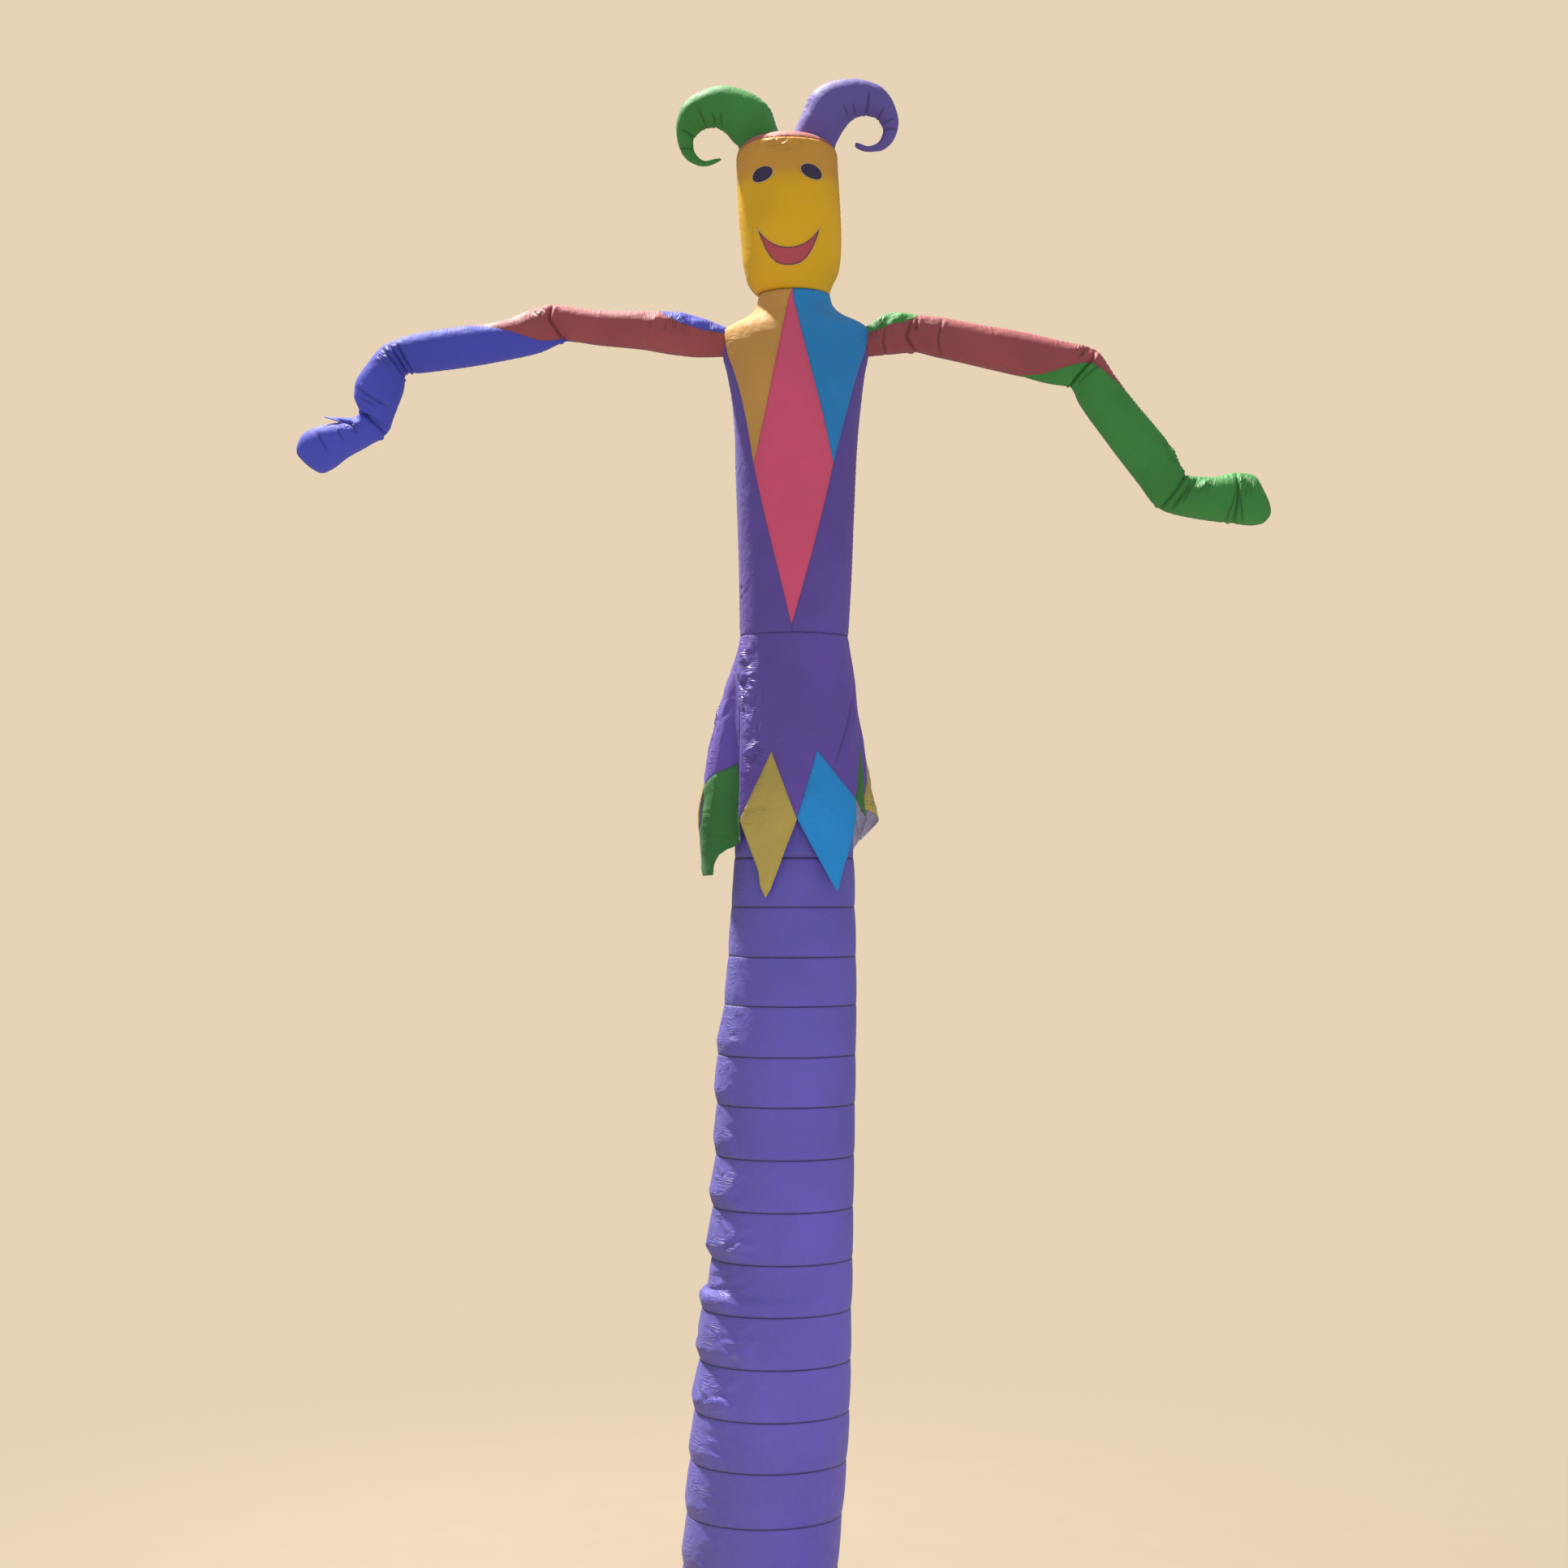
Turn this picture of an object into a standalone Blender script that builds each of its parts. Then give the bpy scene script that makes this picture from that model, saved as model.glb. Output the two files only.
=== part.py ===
"""Inflatable air dancer in jester dress: a sewn nylon figure that stands on its blower hem.

Every piece is a thin skin of cloth, cut and sewn by itself, and the whole figure is hollow:
air comes in at the open foot, rises through the leg and fills torso, head, horns and sleeves.
Metres, +Z up. The front faces -Y and the origin lies on the floor, midway between the hands.
Angles are in degrees round the upright axis: 0 is the front, 90 the +X side.
"""
import math
from collections import namedtuple

import bmesh
import bpy
from mathutils import Vector

# ---------------------------------------------------------------- driving dimensions
CLOTH = 0.0025              # thickness of one layer of coated nylon with its seam allowance
SEAM_GAP = 0.0003           # sewn edges meet with this much air between their solids
BODY_SIDES = 20             # flats round the leg
HEAD_SIDES = 24
ARM_SIDES = 12
HORN_SIDES = 12

BAND_PUFF = 0.004           # each leg band swells this much between its two seams
SLACK_ANGLE = -52           # middle of the leg's slack, crumpled side
SLACK_REACH = 40            # the slack fades out this many degrees from its middle

WAIST = 2.890               # seam where torso, skirt and hip tube meet
HIP_AXIS = 0.030            # x of the upright axis of hip and skirt
WAIST_RADIUS = 0.161
SKIRT_DROP = 0.540          # from the waist to the level where the skirt is widest
SKIRT_TWIST = 2.7           # how soon the folds reach their own angle below the waist
PENNANT_SWAY = 0.030        # lean back to the leg, per metre below the widest level
CORNER_HEIGHT = 0.006       # a pennant's side corner is blunt by this much

NECK = 3.919                # seam of torso and head
TORSO_TURN = -3.0           # the dress is turned this far round the body
DIAMOND_HALF_ANGLE = 41.3   # reach of the long diamond to each side
DIAMOND_WIDEST = 3.390      # height of its side corners
DIAMOND_FOOT = 2.912        # height of its lower point
CORNER_WIDTH = 0.179        # half width of the torso there
THREAD_SPREAD = 1.25        # the most that threads spread at the neck
SEAM_ANGLE = 0.12           # degrees of air beside an upright seam
DIAMOND_CUT_ANGLE = 0.25    # a long diamond's side corners are cut short by this much
STEEP_GAP = 0.0010          # half the upright air at a steep seam, which leaves 0.4 mm across

ARMHOLE_HEIGHT = 3.778
ARMHOLE_RISE = 0.038        # half height of the hole in the side of the torso
ARMHOLE_HALF_ANGLE = 14.0
SLEEVE_ROOT = 0.044         # radius of the sleeve where it is sewn on round the hole
SLEEVE_STANDOFF = 0.0009    # clear of the flats of the torso

CROWN_SEAM = 4.362          # edge of the cap that closes the head
HORN_SPREAD = 0.078         # from the head's axis to the middle of each horn
HORN_ROOT = 0.060           # radius of a horn where it is sewn on
HORN_STANDOFF = 0.0018      # clear of the flats of the cap
HORN_HOLE = 0.052           # radius of the hole in the cap below it
CUTTER_TURN = 4.0           # keeps the hole's corners off the cap's edges
CUTTER_DEPTH = 0.1

PATCH_CLOTH = 0.0015        # eyes and mouth are one thin layer on the face
PATCH_STANDOFF = 0.0010     # clear of the flats of the face

NORMAL_TURN = 2.0           # reach of the slope taken for a normal, round the figure
NORMAL_RISE = 0.010         # and up it
SHARP_ANGLE = 50.0          # edges sharper than this show as creases

# ---------------------------------------------------------------- sections, one per row
# Leg, from the floor up. A row that is no seam is a fold inside its band.
LegRow = namedtuple("LegRow", "height centre radius seam slack")
LEG_ROWS = [
    LegRow(0.000, -0.080, 0.2285, True, 0.000),
    LegRow(0.150, -0.069, 0.2275, True, 0.002),
    LegRow(0.301, -0.058, 0.2285, True, 0.003),
    LegRow(0.458, -0.046, 0.2300, True, 0.004),
    LegRow(0.603, -0.036, 0.2280, True, 0.005),
    LegRow(0.752, -0.026, 0.2225, True, 0.010),
    LegRow(0.902, -0.022, 0.2205, True, 0.012),
    LegRow(0.934, -0.020, 0.2200, False, 0.004),
    LegRow(0.966, -0.007, 0.2080, False, 0.006),
    LegRow(1.049, -0.006, 0.2080, True, 0.012),
    LegRow(1.200, -0.003, 0.2070, True, 0.011),
    LegRow(1.351, 0.003, 0.2045, True, 0.007),
    LegRow(1.503, 0.006, 0.2040, True, 0.005),
    LegRow(1.648, 0.008, 0.2040, True, 0.006),
    LegRow(1.795, 0.019, 0.1955, True, 0.004),
    LegRow(1.938, 0.024, 0.1890, True, 0.002),
    LegRow(2.084, 0.027, 0.1825, True, 0.001),
    LegRow(2.228, 0.030, 0.1770, True, 0.000),
]

# Skirt folds, once round: lips stand out, troughs lie near the leg. Each starts at its own
# angle on the waist seam and turns to its angle at the widest level, and the bow says how
# early it swings out.
Fold = namedtuple("Fold", "angle waist_angle radius bow")
SKIRT_FOLDS = [
    Fold(-180, -180, 0.246, 1.2),
    Fold(-150, -153, 0.257, 1.2),
    Fold(-125, -133, 0.273, 1.3),
    Fold(-102, -118, 0.287, 1.4),
    Fold(-86, -108, 0.281, 1.4),
    Fold(-73, -101, 0.256, 1.4),
    Fold(-64, -96, 0.202, 1.1),
    Fold(-57, -92, 0.195, 1.1),
    Fold(-50, -88, 0.213, 1.1),
    Fold(-44, -76, 0.212, 1.1),
    Fold(-38, -64, 0.209, 1.1),
    Fold(-12, -22, 0.202, 1.1),
    Fold(12, 8, 0.206, 1.2),
    Fold(36, 32, 0.226, 1.3),
    Fold(50, 46, 0.239, 1.3),
    Fold(65, 61, 0.232, 1.5),
    Fold(74, 71, 0.208, 1.0),
    Fold(88, 84, 0.246, 0.8),
    Fold(102, 99, 0.256, 0.85),
    Fold(126, 124, 0.252, 0.9),
    Fold(152, 151, 0.244, 1.1),
]

# Diamond pennants round the hem, each from its left corner to the next one's. The reach is
# half the width of its blunt lower tip, and the drop lengthens its right side.
Pennant = namedtuple("Pennant", "colour left corner_height top top_height "
                                "tip tip_height reach drop")
PENNANTS = [
    Pennant("yellow", -49, 2.341, -20, 2.540, -26, 2.114, 2, 0.00),
    Pennant("blue", 2, 2.343, 20, 2.543, 34, 2.130, 2, 0.05),
    Pennant("green", 50, 2.400, 64, 2.565, 66, 2.335, 3, 0.00),
    Pennant("yellow", 76, 2.380, 96, 2.550, 102, 2.335, 9, 0.00),
    Pennant("blue", 126, 2.290, 148, 2.545, 152, 2.180, 3, 0.00),
    Pennant("green", 172, 2.345, 192, 2.540, 193, 2.125, 3, 0.00),
    Pennant("yellow", 218, 2.345, 243, 2.540, 240, 2.270, 9, 0.105),
    Pennant("green", 276, 2.445, 298, 2.512, 283, 2.182, 6, 0.045),
]

# Rows of the skirt, as shares of the way down: close together where the folds turn.
SKIRT_SHARES = [0, 0.12, 0.30, 0.60, 1]
PENNANT_ROWS = 4

# Torso, from the waist up: half width across, half depth front to back.
TorsoRow = namedtuple("TorsoRow", "height centre width depth")
TORSO_ROWS = [
    TorsoRow(2.890, 0.030, 0.161, 0.161),
    TorsoRow(3.100, 0.034, 0.168, 0.167),
    TorsoRow(3.390, 0.035, 0.179, 0.175),
    TorsoRow(3.490, 0.037, 0.183, 0.178),
    TorsoRow(3.590, 0.038, 0.192, 0.178),
    TorsoRow(3.685, 0.036, 0.206, 0.172),
    TorsoRow(3.734, 0.035, 0.217, 0.167),
    TorsoRow(3.778, 0.036, 0.221, 0.162),
    TorsoRow(3.804, 0.038, 0.221, 0.151),
    TorsoRow(3.818, 0.040, 0.211, 0.143),
    TorsoRow(3.832, 0.041, 0.187, 0.133),
    TorsoRow(3.850, 0.038, 0.150, 0.121),
    TorsoRow(3.869, 0.035, 0.125, 0.112),
    TorsoRow(3.894, 0.032, 0.111, 0.107),
    TorsoRow(3.919, 0.031, 0.107, 0.106),
]
# Columns of the dress, in degrees from a long diamond's middle: close together where its
# upper seams run down over the shoulder. A yoke's tip is cut short at the second one.
DIAMOND_COLUMNS = [0, 1.2, 2.4, 4, 6, 9, 17, 29, DIAMOND_HALF_ANGLE]
# Rows of the dress's panels, as shares of the way down from their upper edge.
DIAMOND_SHARES = [0, 0.05, 0.10, 0.18, 0.50, 1]
YOKE_SHARES = [0, 0.06, 0.11, 0.15, 0.20, 0.45, 1]
SIDE_SHARES = [0, 0.12, 0.30, 0.60, 1]
RIDGE_STEPS = 4             # columns from a diamond's corner to the armhole
HOLE_STEPS = 3              # and from there to the middle of the hole

# Head, from the neck to the middle of the cap.
HeadRow = namedtuple("HeadRow", "height centre radius")
HEAD_ROWS = [
    HeadRow(3.919, 0.031, 0.107),
    HeadRow(3.932, 0.023, 0.115),
    HeadRow(3.956, 0.020, 0.127),
    HeadRow(3.985, 0.023, 0.138),
    HeadRow(4.030, 0.023, 0.146),
    HeadRow(4.180, 0.016, 0.152),
    HeadRow(4.330, 0.009, 0.151),
    HeadRow(4.350, 0.009, 0.148),
    HeadRow(4.362, 0.009, 0.143),
    HeadRow(4.374, 0.009, 0.131),
    HeadRow(4.386, 0.009, 0.109),
    HeadRow(4.395, 0.009, 0.080),
    HeadRow(4.401, 0.009, 0.042),
]

# Sleeves and horns: each section from one edge of the outline to the other, as x and z.
Section = namedtuple("Section", "upper_x upper_z lower_x lower_z depth")
LEFT_SLEEVE = [
    Section(-0.252, 3.852, -0.252, 3.735, 0.055),
    Section(-0.330, 3.869, -0.330, 3.742, 0.058),
    Section(-0.430, 3.870, -0.430, 3.759, 0.056),
    Section(-0.560, 3.873, -0.556, 3.771, 0.054),
    Section(-0.693, 3.891, -0.649, 3.781, 0.048),
    Section(-0.752, 3.876, -0.736, 3.748, 0.058),
    Section(-0.869, 3.836, -0.868, 3.719, 0.058),
    Section(-0.986, 3.822, -0.985, 3.700, 0.059),
    Section(-1.103, 3.803, -1.090, 3.687, 0.058),
    Section(-1.195, 3.771, -1.136, 3.684, 0.050),
    Section(-1.246, 3.717, -1.143, 3.636, 0.058),
    Section(-1.287, 3.648, -1.162, 3.582, 0.060),
    Section(-1.290, 3.616, -1.172, 3.555, 0.056),
    Section(-1.273, 3.569, -1.188, 3.508, 0.046),
    Section(-1.308, 3.557, -1.252, 3.464, 0.052),
    Section(-1.360, 3.535, -1.310, 3.434, 0.056),
    Section(-1.417, 3.518, -1.365, 3.398, 0.058),
    Section(-1.449, 3.492, -1.400, 3.384, 0.046),
    Section(-1.461, 3.460, -1.437, 3.412, 0.024),
]
RIGHT_SLEEVE = [
    Section(0.330, 3.868, 0.330, 3.744, 0.056),
    Section(0.399, 3.860, 0.394, 3.749, 0.051),
    Section(0.468, 3.852, 0.466, 3.734, 0.057),
    Section(0.586, 3.830, 0.583, 3.707, 0.060),
    Section(0.703, 3.810, 0.696, 3.681, 0.062),
    Section(0.820, 3.783, 0.796, 3.655, 0.062),
    Section(0.932, 3.755, 0.860, 3.643, 0.050),
    Section(0.995, 3.673, 0.887, 3.594, 0.062),
    Section(1.053, 3.596, 0.940, 3.518, 0.064),
    Section(1.111, 3.525, 1.001, 3.435, 0.066),
    Section(1.169, 3.449, 1.061, 3.356, 0.066),
    Section(1.213, 3.374, 1.131, 3.273, 0.054),
    Section(1.280, 3.370, 1.238, 3.246, 0.060),
    Section(1.356, 3.383, 1.350, 3.232, 0.062),
    Section(1.404, 3.376, 1.400, 3.227, 0.064),
    Section(1.436, 3.329, 1.433, 3.232, 0.046),
    Section(1.453, 3.293, 1.452, 3.250, 0.022),
]
LEFT_HORN = [
    Section(-0.006, 4.436, -0.140, 4.380, 0.066),
    Section(-0.040, 4.482, -0.153, 4.389, 0.072),
    Section(-0.100, 4.533, -0.179, 4.419, 0.069),
    Section(-0.186, 4.555, -0.210, 4.434, 0.061),
    Section(-0.267, 4.530, -0.240, 4.428, 0.052),
    Section(-0.313, 4.481, -0.264, 4.409, 0.043),
    Section(-0.325, 4.426, -0.274, 4.389, 0.031),
    Section(-0.316, 4.372, -0.272, 4.364, 0.022),
    Section(-0.284, 4.328, -0.259, 4.340, 0.013),
    Section(-0.242, 4.314, -0.237, 4.328, 0.0075),
    Section(-0.194, 4.330, -0.195, 4.336, 0.0030),
]
RIGHT_HORN = [
    Section(0.025, 4.436, 0.157, 4.386, 0.066),
    Section(0.046, 4.478, 0.164, 4.399, 0.071),
    Section(0.078, 4.525, 0.184, 4.431, 0.070),
    Section(0.137, 4.565, 0.210, 4.459, 0.063),
    Section(0.211, 4.576, 0.240, 4.469, 0.054),
    Section(0.284, 4.558, 0.272, 4.464, 0.046),
    Section(0.330, 4.503, 0.291, 4.444, 0.035),
    Section(0.345, 4.444, 0.299, 4.422, 0.025),
    Section(0.330, 4.394, 0.291, 4.394, 0.019),
    Section(0.289, 4.362, 0.274, 4.378, 0.011),
    Section(0.252, 4.359, 0.252, 4.373, 0.0075),
    Section(0.220, 4.369, 0.218, 4.383, 0.0060),
]

Eye = namedtuple("Eye", "name angle height tilt")
EYES = [
    Eye("eye_left", -30.0, 4.252, 14),
    Eye("eye_right", 27.5, 4.259, -14),
]
EYE_HALF_LENGTH = 0.039
EYE_HALF_HEIGHT = 0.022
EYE_SIDES = 16
EYE_RING = 0.5              # size of the ring of points inside an eye's outline
MOUTH_HALF_ANGLE = 37.5
MOUTH_TIPS = 4.099
MOUTH_TOP_LIP = 4.033       # lowest level of the upper edge
MOUTH_LOW_LIP = 3.980
MOUTH_TOP_BEND = 2.2        # how square the upper edge's curve is
MOUTH_LOW_BEND = 2.9
MOUTH_CORNER = 0.003        # the crescent's corners are blunt by this much
MOUTH_COLUMNS = 10
MOUTH_ROWS = 3

# ---------------------------------------------------------------- cloth
Cloth = namedtuple("Cloth", "colour roughness")
CLOTHS = {
    "purple": Cloth((0.120, 0.090, 0.370), 0.42),
    "magenta": Cloth((0.540, 0.055, 0.130), 0.45),
    "gold": Cloth((0.560, 0.270, 0.060), 0.45),
    "blue": Cloth((0.010, 0.190, 0.520), 0.45),
    "yellow": Cloth((0.600, 0.420, 0.020), 0.45),
    "lemon": Cloth((0.400, 0.310, 0.070), 0.45),
    "coral": Cloth((0.520, 0.120, 0.080), 0.45),
    "green": Cloth((0.030, 0.250, 0.035), 0.45),
    "red": Cloth((0.330, 0.045, 0.060), 0.45),
    "royal": Cloth((0.050, 0.060, 0.400), 0.45),
    "navy": Cloth((0.030, 0.018, 0.090), 0.55),
    "rose": Cloth((0.480, 0.060, 0.070), 0.50),
}


def clear_scene():
    """Remove whatever objects the scene holds."""
    for thing in list(bpy.data.objects):
        bpy.data.objects.remove(thing, do_unlink=True)


def cloth_material(name):
    """Return the Principled material of one colour of cloth, made once."""
    found = bpy.data.materials.get("nylon_" + name)
    if found:
        return found
    cloth = CLOTHS[name]
    material = bpy.data.materials.new("nylon_" + name)
    material.use_nodes = True
    shader = material.node_tree.nodes["Principled BSDF"]
    shader.inputs["Base Color"].default_value = (*cloth.colour, 1.0)
    shader.inputs["Roughness"].default_value = cloth.roughness
    shader.inputs["Metallic"].default_value = 0.0
    material.diffuse_color = (*cloth.colour, 1.0)
    return material


# ---------------------------------------------------------------- surfaces
def read_table(rows, key, value, at):
    """Read a table's column between its rows, straight from row to row and beyond them."""
    after = 1
    while after < len(rows) - 1 and at > getattr(rows[after], key):
        after += 1
    before, row = rows[after - 1], rows[after]
    share = (at - getattr(before, key)) / (getattr(row, key) - getattr(before, key))
    return getattr(before, value) + (getattr(row, value) - getattr(before, value)) * share


def around(axis_x, angle, width, depth, height):
    """A point of an upright oval: angle 0 is its front."""
    turn = math.radians(angle)
    return Vector((axis_x + width * math.sin(turn), -depth * math.cos(turn), height))


def below_surface(surface, angle, height, depth):
    """The point of a surface at (angle, height), moved in along its normal."""
    across = surface(angle + NORMAL_TURN, height) - surface(angle - NORMAL_TURN, height)
    upward = surface(angle, height + NORMAL_RISE) - surface(angle, height - NORMAL_RISE)
    return surface(angle, height) - across.cross(upward).normalized() * depth


def upright_turn(angle, width):
    """Angle of a thread on a section of this width, from its angle at the diamonds' corners.

    Threads on a long diamond run straight up, seen from the front. Beyond it they come back
    to their own angle by the edge of the armhole.
    """
    middle = TORSO_TURN + 180 * round((angle - TORSO_TURN) / 180)
    off = abs(angle - middle)
    near = min(off, DIAMOND_HALF_ANGLE)
    ratio = min(THREAD_SPREAD, CORNER_WIDTH / width)
    shift = math.degrees(math.asin(math.sin(math.radians(near)) * ratio)) - near
    armhole_start = 90 - ARMHOLE_HALF_ANGLE
    fade = min(1.0, (armhole_start - off) / (armhole_start - DIAMOND_HALF_ANGLE))
    return angle + shift * max(0.0, fade) * math.copysign(1, angle - middle)


def torso_surface(angle, height):
    """Outer face of the dress, by the angle of its threads."""
    centre = read_table(TORSO_ROWS, "height", "centre", height)
    width = read_table(TORSO_ROWS, "height", "width", height)
    depth = read_table(TORSO_ROWS, "height", "depth", height)
    return around(centre, upright_turn(angle, width), width, depth, height)


def head_surface(angle, height):
    """Outer face of the head and its cap."""
    centre = read_table(HEAD_ROWS, "height", "centre", height)
    radius = read_table(HEAD_ROWS, "height", "radius", height)
    return around(centre, angle, radius, radius, height)


def read_folds(angle, column):
    """A column of the skirt's folds at an angle of its widest level."""
    first = SKIRT_FOLDS[0]
    turned = (angle - first.angle) % 360 + first.angle
    closing = first._replace(angle=first.angle + 360, waist_angle=first.waist_angle + 360)
    value = read_table(SKIRT_FOLDS + [closing], "angle", column, turned)
    return value + (angle - turned if column == "waist_angle" else 0)


def skirt_surface(angle, height):
    """Outer face of the skirt and its pennants, by the angle at the widest level."""
    share = (WAIST - height) / SKIRT_DROP
    full = read_folds(angle, "radius")
    up = min(1.0, max(0.0, 1 - share))
    radius = WAIST_RADIUS + (full - WAIST_RADIUS) * (1 - up ** read_folds(angle, "bow"))
    radius -= PENNANT_SWAY * max(0.0, share - 1) * SKIRT_DROP
    turn = angle + (read_folds(angle, "waist_angle") - angle) * up ** SKIRT_TWIST
    return around(HIP_AXIS, turn, radius, radius, height)


# ---------------------------------------------------------------- meshes
def finish(name, mesh, cloth):
    """Turn a bmesh into the named object of one piece."""
    bmesh.ops.recalc_face_normals(mesh, faces=mesh.faces)
    if mesh.calc_volume(signed=True) < 0:
        bmesh.ops.reverse_faces(mesh, faces=mesh.faces)
    data = bpy.data.meshes.new(name)
    mesh.to_mesh(data)
    mesh.free()
    data.materials.append(cloth_material(cloth))
    data.shade_smooth()
    data.set_sharp_from_angle(angle=math.radians(SHARP_ANGLE))
    piece = bpy.data.objects.new(name, data)
    bpy.context.scene.collection.objects.link(piece)
    return piece


def skin_grid(mesh, rows, closed):
    """Join rows of points by quads, round and round if closed, and return the vertices."""
    lines = [[mesh.verts.new(point) for point in row] for row in rows]
    for low, high in zip(lines, lines[1:]):
        last = len(low) if closed else len(low) - 1
        for i in range(last):
            j = (i + 1) % len(low)
            mesh.faces.new((low[i], low[j], high[j], high[i]))
    return lines


def close_strip(mesh, first, second, closed):
    """Join two lines of vertices along an edge of the cloth."""
    last = len(first) if closed else len(first) - 1
    for i in range(last):
        j = (i + 1) % len(first)
        mesh.faces.new((first[i], first[j], second[j], second[i]))


def cloth_tube(name, outer, inner, cloth, closed_tip=False):
    """A tube of cloth from rings of points, open at both ends or closed at its last ring."""
    mesh = bmesh.new()
    outside = skin_grid(mesh, outer, closed=True)
    inside = skin_grid(mesh, inner, closed=True)
    close_strip(mesh, outside[0], inside[0], closed=True)
    if closed_tip:
        mesh.faces.new(outside[-1])
        mesh.faces.new(inside[-1])
    else:
        close_strip(mesh, outside[-1], inside[-1], closed=True)
    return finish(name, mesh, cloth)


def cloth_panel(name, outer, inner, cloth):
    """A panel of cloth from rows of points on its outer and inner faces."""
    mesh = bmesh.new()
    outside = skin_grid(mesh, outer, closed=False)
    inside = skin_grid(mesh, inner, closed=False)
    close_strip(mesh, outside[0], inside[0], closed=False)
    close_strip(mesh, outside[-1], inside[-1], closed=False)
    close_strip(mesh, [row[0] for row in outside], [row[0] for row in inside], closed=False)
    close_strip(mesh, [row[-1] for row in outside], [row[-1] for row in inside], closed=False)
    return finish(name, mesh, cloth)


def panel_on(surface, name, angles, low_edge, high_edge, shares, cloth,
             lift=0.0, thickness=CLOTH):
    """A panel that follows a surface between two edges, each a height for every angle.

    The shares place its rows, from 0 at the high edge to 1 at the low one.
    """
    outer, inner = [], []
    for share in shares:
        outer_row, inner_row = [], []
        for angle in angles:
            high, low = high_edge(angle), low_edge(angle)
            height = high + (low - high) * share
            outer_row.append(below_surface(surface, angle, height, -lift))
            inner_row.append(below_surface(surface, angle, height, thickness - lift))
        outer.append(outer_row)
        inner.append(inner_row)
    return cloth_panel(name, outer, inner, cloth)


def even_shares(count):
    """Shares from 0 to 1 in even steps."""
    return [i / count for i in range(count + 1)]


def line(angle, angle_a, height_a, angle_b, height_b):
    """Height on the straight edge between two corners of a panel."""
    return height_a + (height_b - height_a) * (angle - angle_a) / (angle_b - angle_a)


# ---------------------------------------------------------------- leg and hip
def leg_ring(row, puff, depth):
    """A ring of the leg at a row, swollen by puff and drawn in on the slack side."""
    points = []
    for i in range(BODY_SIDES):
        angle = i * 360 / BODY_SIDES
        off = abs((angle - SLACK_ANGLE + 180) % 360 - 180)
        pull = row.slack * max(0.0, 1 - off / SLACK_REACH)
        radius = row.radius + puff - pull - depth
        points.append(around(row.centre, angle, radius, radius, row.height))
    return points


def middle_row(low, high):
    """The row halfway up a plain band, which carries the band's slack."""
    return LegRow((low.height + high.height) / 2, (low.centre + high.centre) / 2,
                  (low.radius + high.radius) / 2, False, high.slack)


def leg_bands():
    """The bands of the leg, each its own strip of cloth sewn into a ring."""
    seams = [i for i, row in enumerate(LEG_ROWS) if row.seam]
    for number, (start, end) in enumerate(zip(seams, seams[1:]), start=1):
        rows = LEG_ROWS[start:end + 1]
        if len(rows) == 2:
            rows = [rows[0], middle_row(*rows), rows[1]]
        half = SEAM_GAP / 2
        foot = 0.0 if number == 1 else half
        rows[0] = rows[0]._replace(height=rows[0].height + foot, slack=0)
        rows[-1] = rows[-1]._replace(height=rows[-1].height - half, slack=0)
        puffs = [0] + [BAND_PUFF] * (len(rows) - 2) + [0]
        outer = [leg_ring(row, puff, 0) for row, puff in zip(rows, puffs)]
        inner = [leg_ring(row, puff, CLOTH) for row, puff in zip(rows, puffs)]
        cloth_tube("leg_band_%02d" % number, outer, inner, "purple")


def hip_tube(angles):
    """The plain tube that carries the leg up under the skirt to the waist."""
    top_radius = WAIST_RADIUS - CLOTH - SEAM_GAP
    ends = [(LEG_ROWS[-1].height + SEAM_GAP / 2, LEG_ROWS[-1].radius),
            (WAIST - SEAM_GAP / 2, top_radius)]
    turns = [read_folds(angle, "waist_angle") for angle in angles]
    outer, inner = [], []
    for height, radius in ends:
        outer.append([around(HIP_AXIS, turn, radius, radius, height) for turn in turns])
        thin = radius - CLOTH
        inner.append([around(HIP_AXIS, turn, thin, thin, height) for turn in turns])
    cloth_tube("hip_tube", outer, inner, "purple")


# ---------------------------------------------------------------- skirt
def pennant_right(index):
    """Angle and height of a pennant's right corner, which is the next one's left."""
    following = PENNANTS[(index + 1) % len(PENNANTS)]
    turned = following.left
    if turned <= PENNANTS[index].left:
        turned += 360
    return turned, following.corner_height


def zigzag_height(angle):
    """Height of the zigzag seam between the skirt and its pennants."""
    for index, pennant in enumerate(PENNANTS):
        right, right_height = pennant_right(index)
        turned = (angle - pennant.left) % 360 + pennant.left
        if turned <= pennant.top:
            return line(turned, pennant.left, pennant.corner_height,
                        pennant.top, pennant.top_height)
        if turned <= right:
            return line(turned, pennant.top, pennant.top_height, right, right_height)
    raise ValueError(angle)


def skirt_angles():
    """Every angle where the hem turns or a fold lies, once round from the first pennant."""
    start = PENNANTS[0].left
    marks = {fold.angle for fold in SKIRT_FOLDS}
    for pennant in PENNANTS:
        marks |= {pennant.left, pennant.top,
                  pennant.tip - pennant.reach, pennant.tip + pennant.reach}
    return sorted({(mark - start) % 360 + start for mark in marks})


def skirt(angles):
    """The skirt: one sheet, gathered at the waist, with a zigzag hem."""
    outer, inner = [], []
    top = WAIST - SEAM_GAP / 2
    for share in SKIRT_SHARES:
        heights = []
        for angle in angles:
            heights.append(top + (zigzag_height(angle) + SEAM_GAP - top) * share)
        pairs = list(zip(angles, heights))
        outer.append([skirt_surface(a, h) for a, h in pairs])
        if share == 0:
            thin = WAIST_RADIUS - CLOTH
            turns = [read_folds(angle, "waist_angle") for angle in angles]
            inner.append([around(HIP_AXIS, turn, thin, thin, top) for turn in turns])
        else:
            inner.append([below_surface(skirt_surface, a, h, CLOTH) for a, h in pairs])
    cloth_tube("skirt", outer, inner, "purple")


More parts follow.
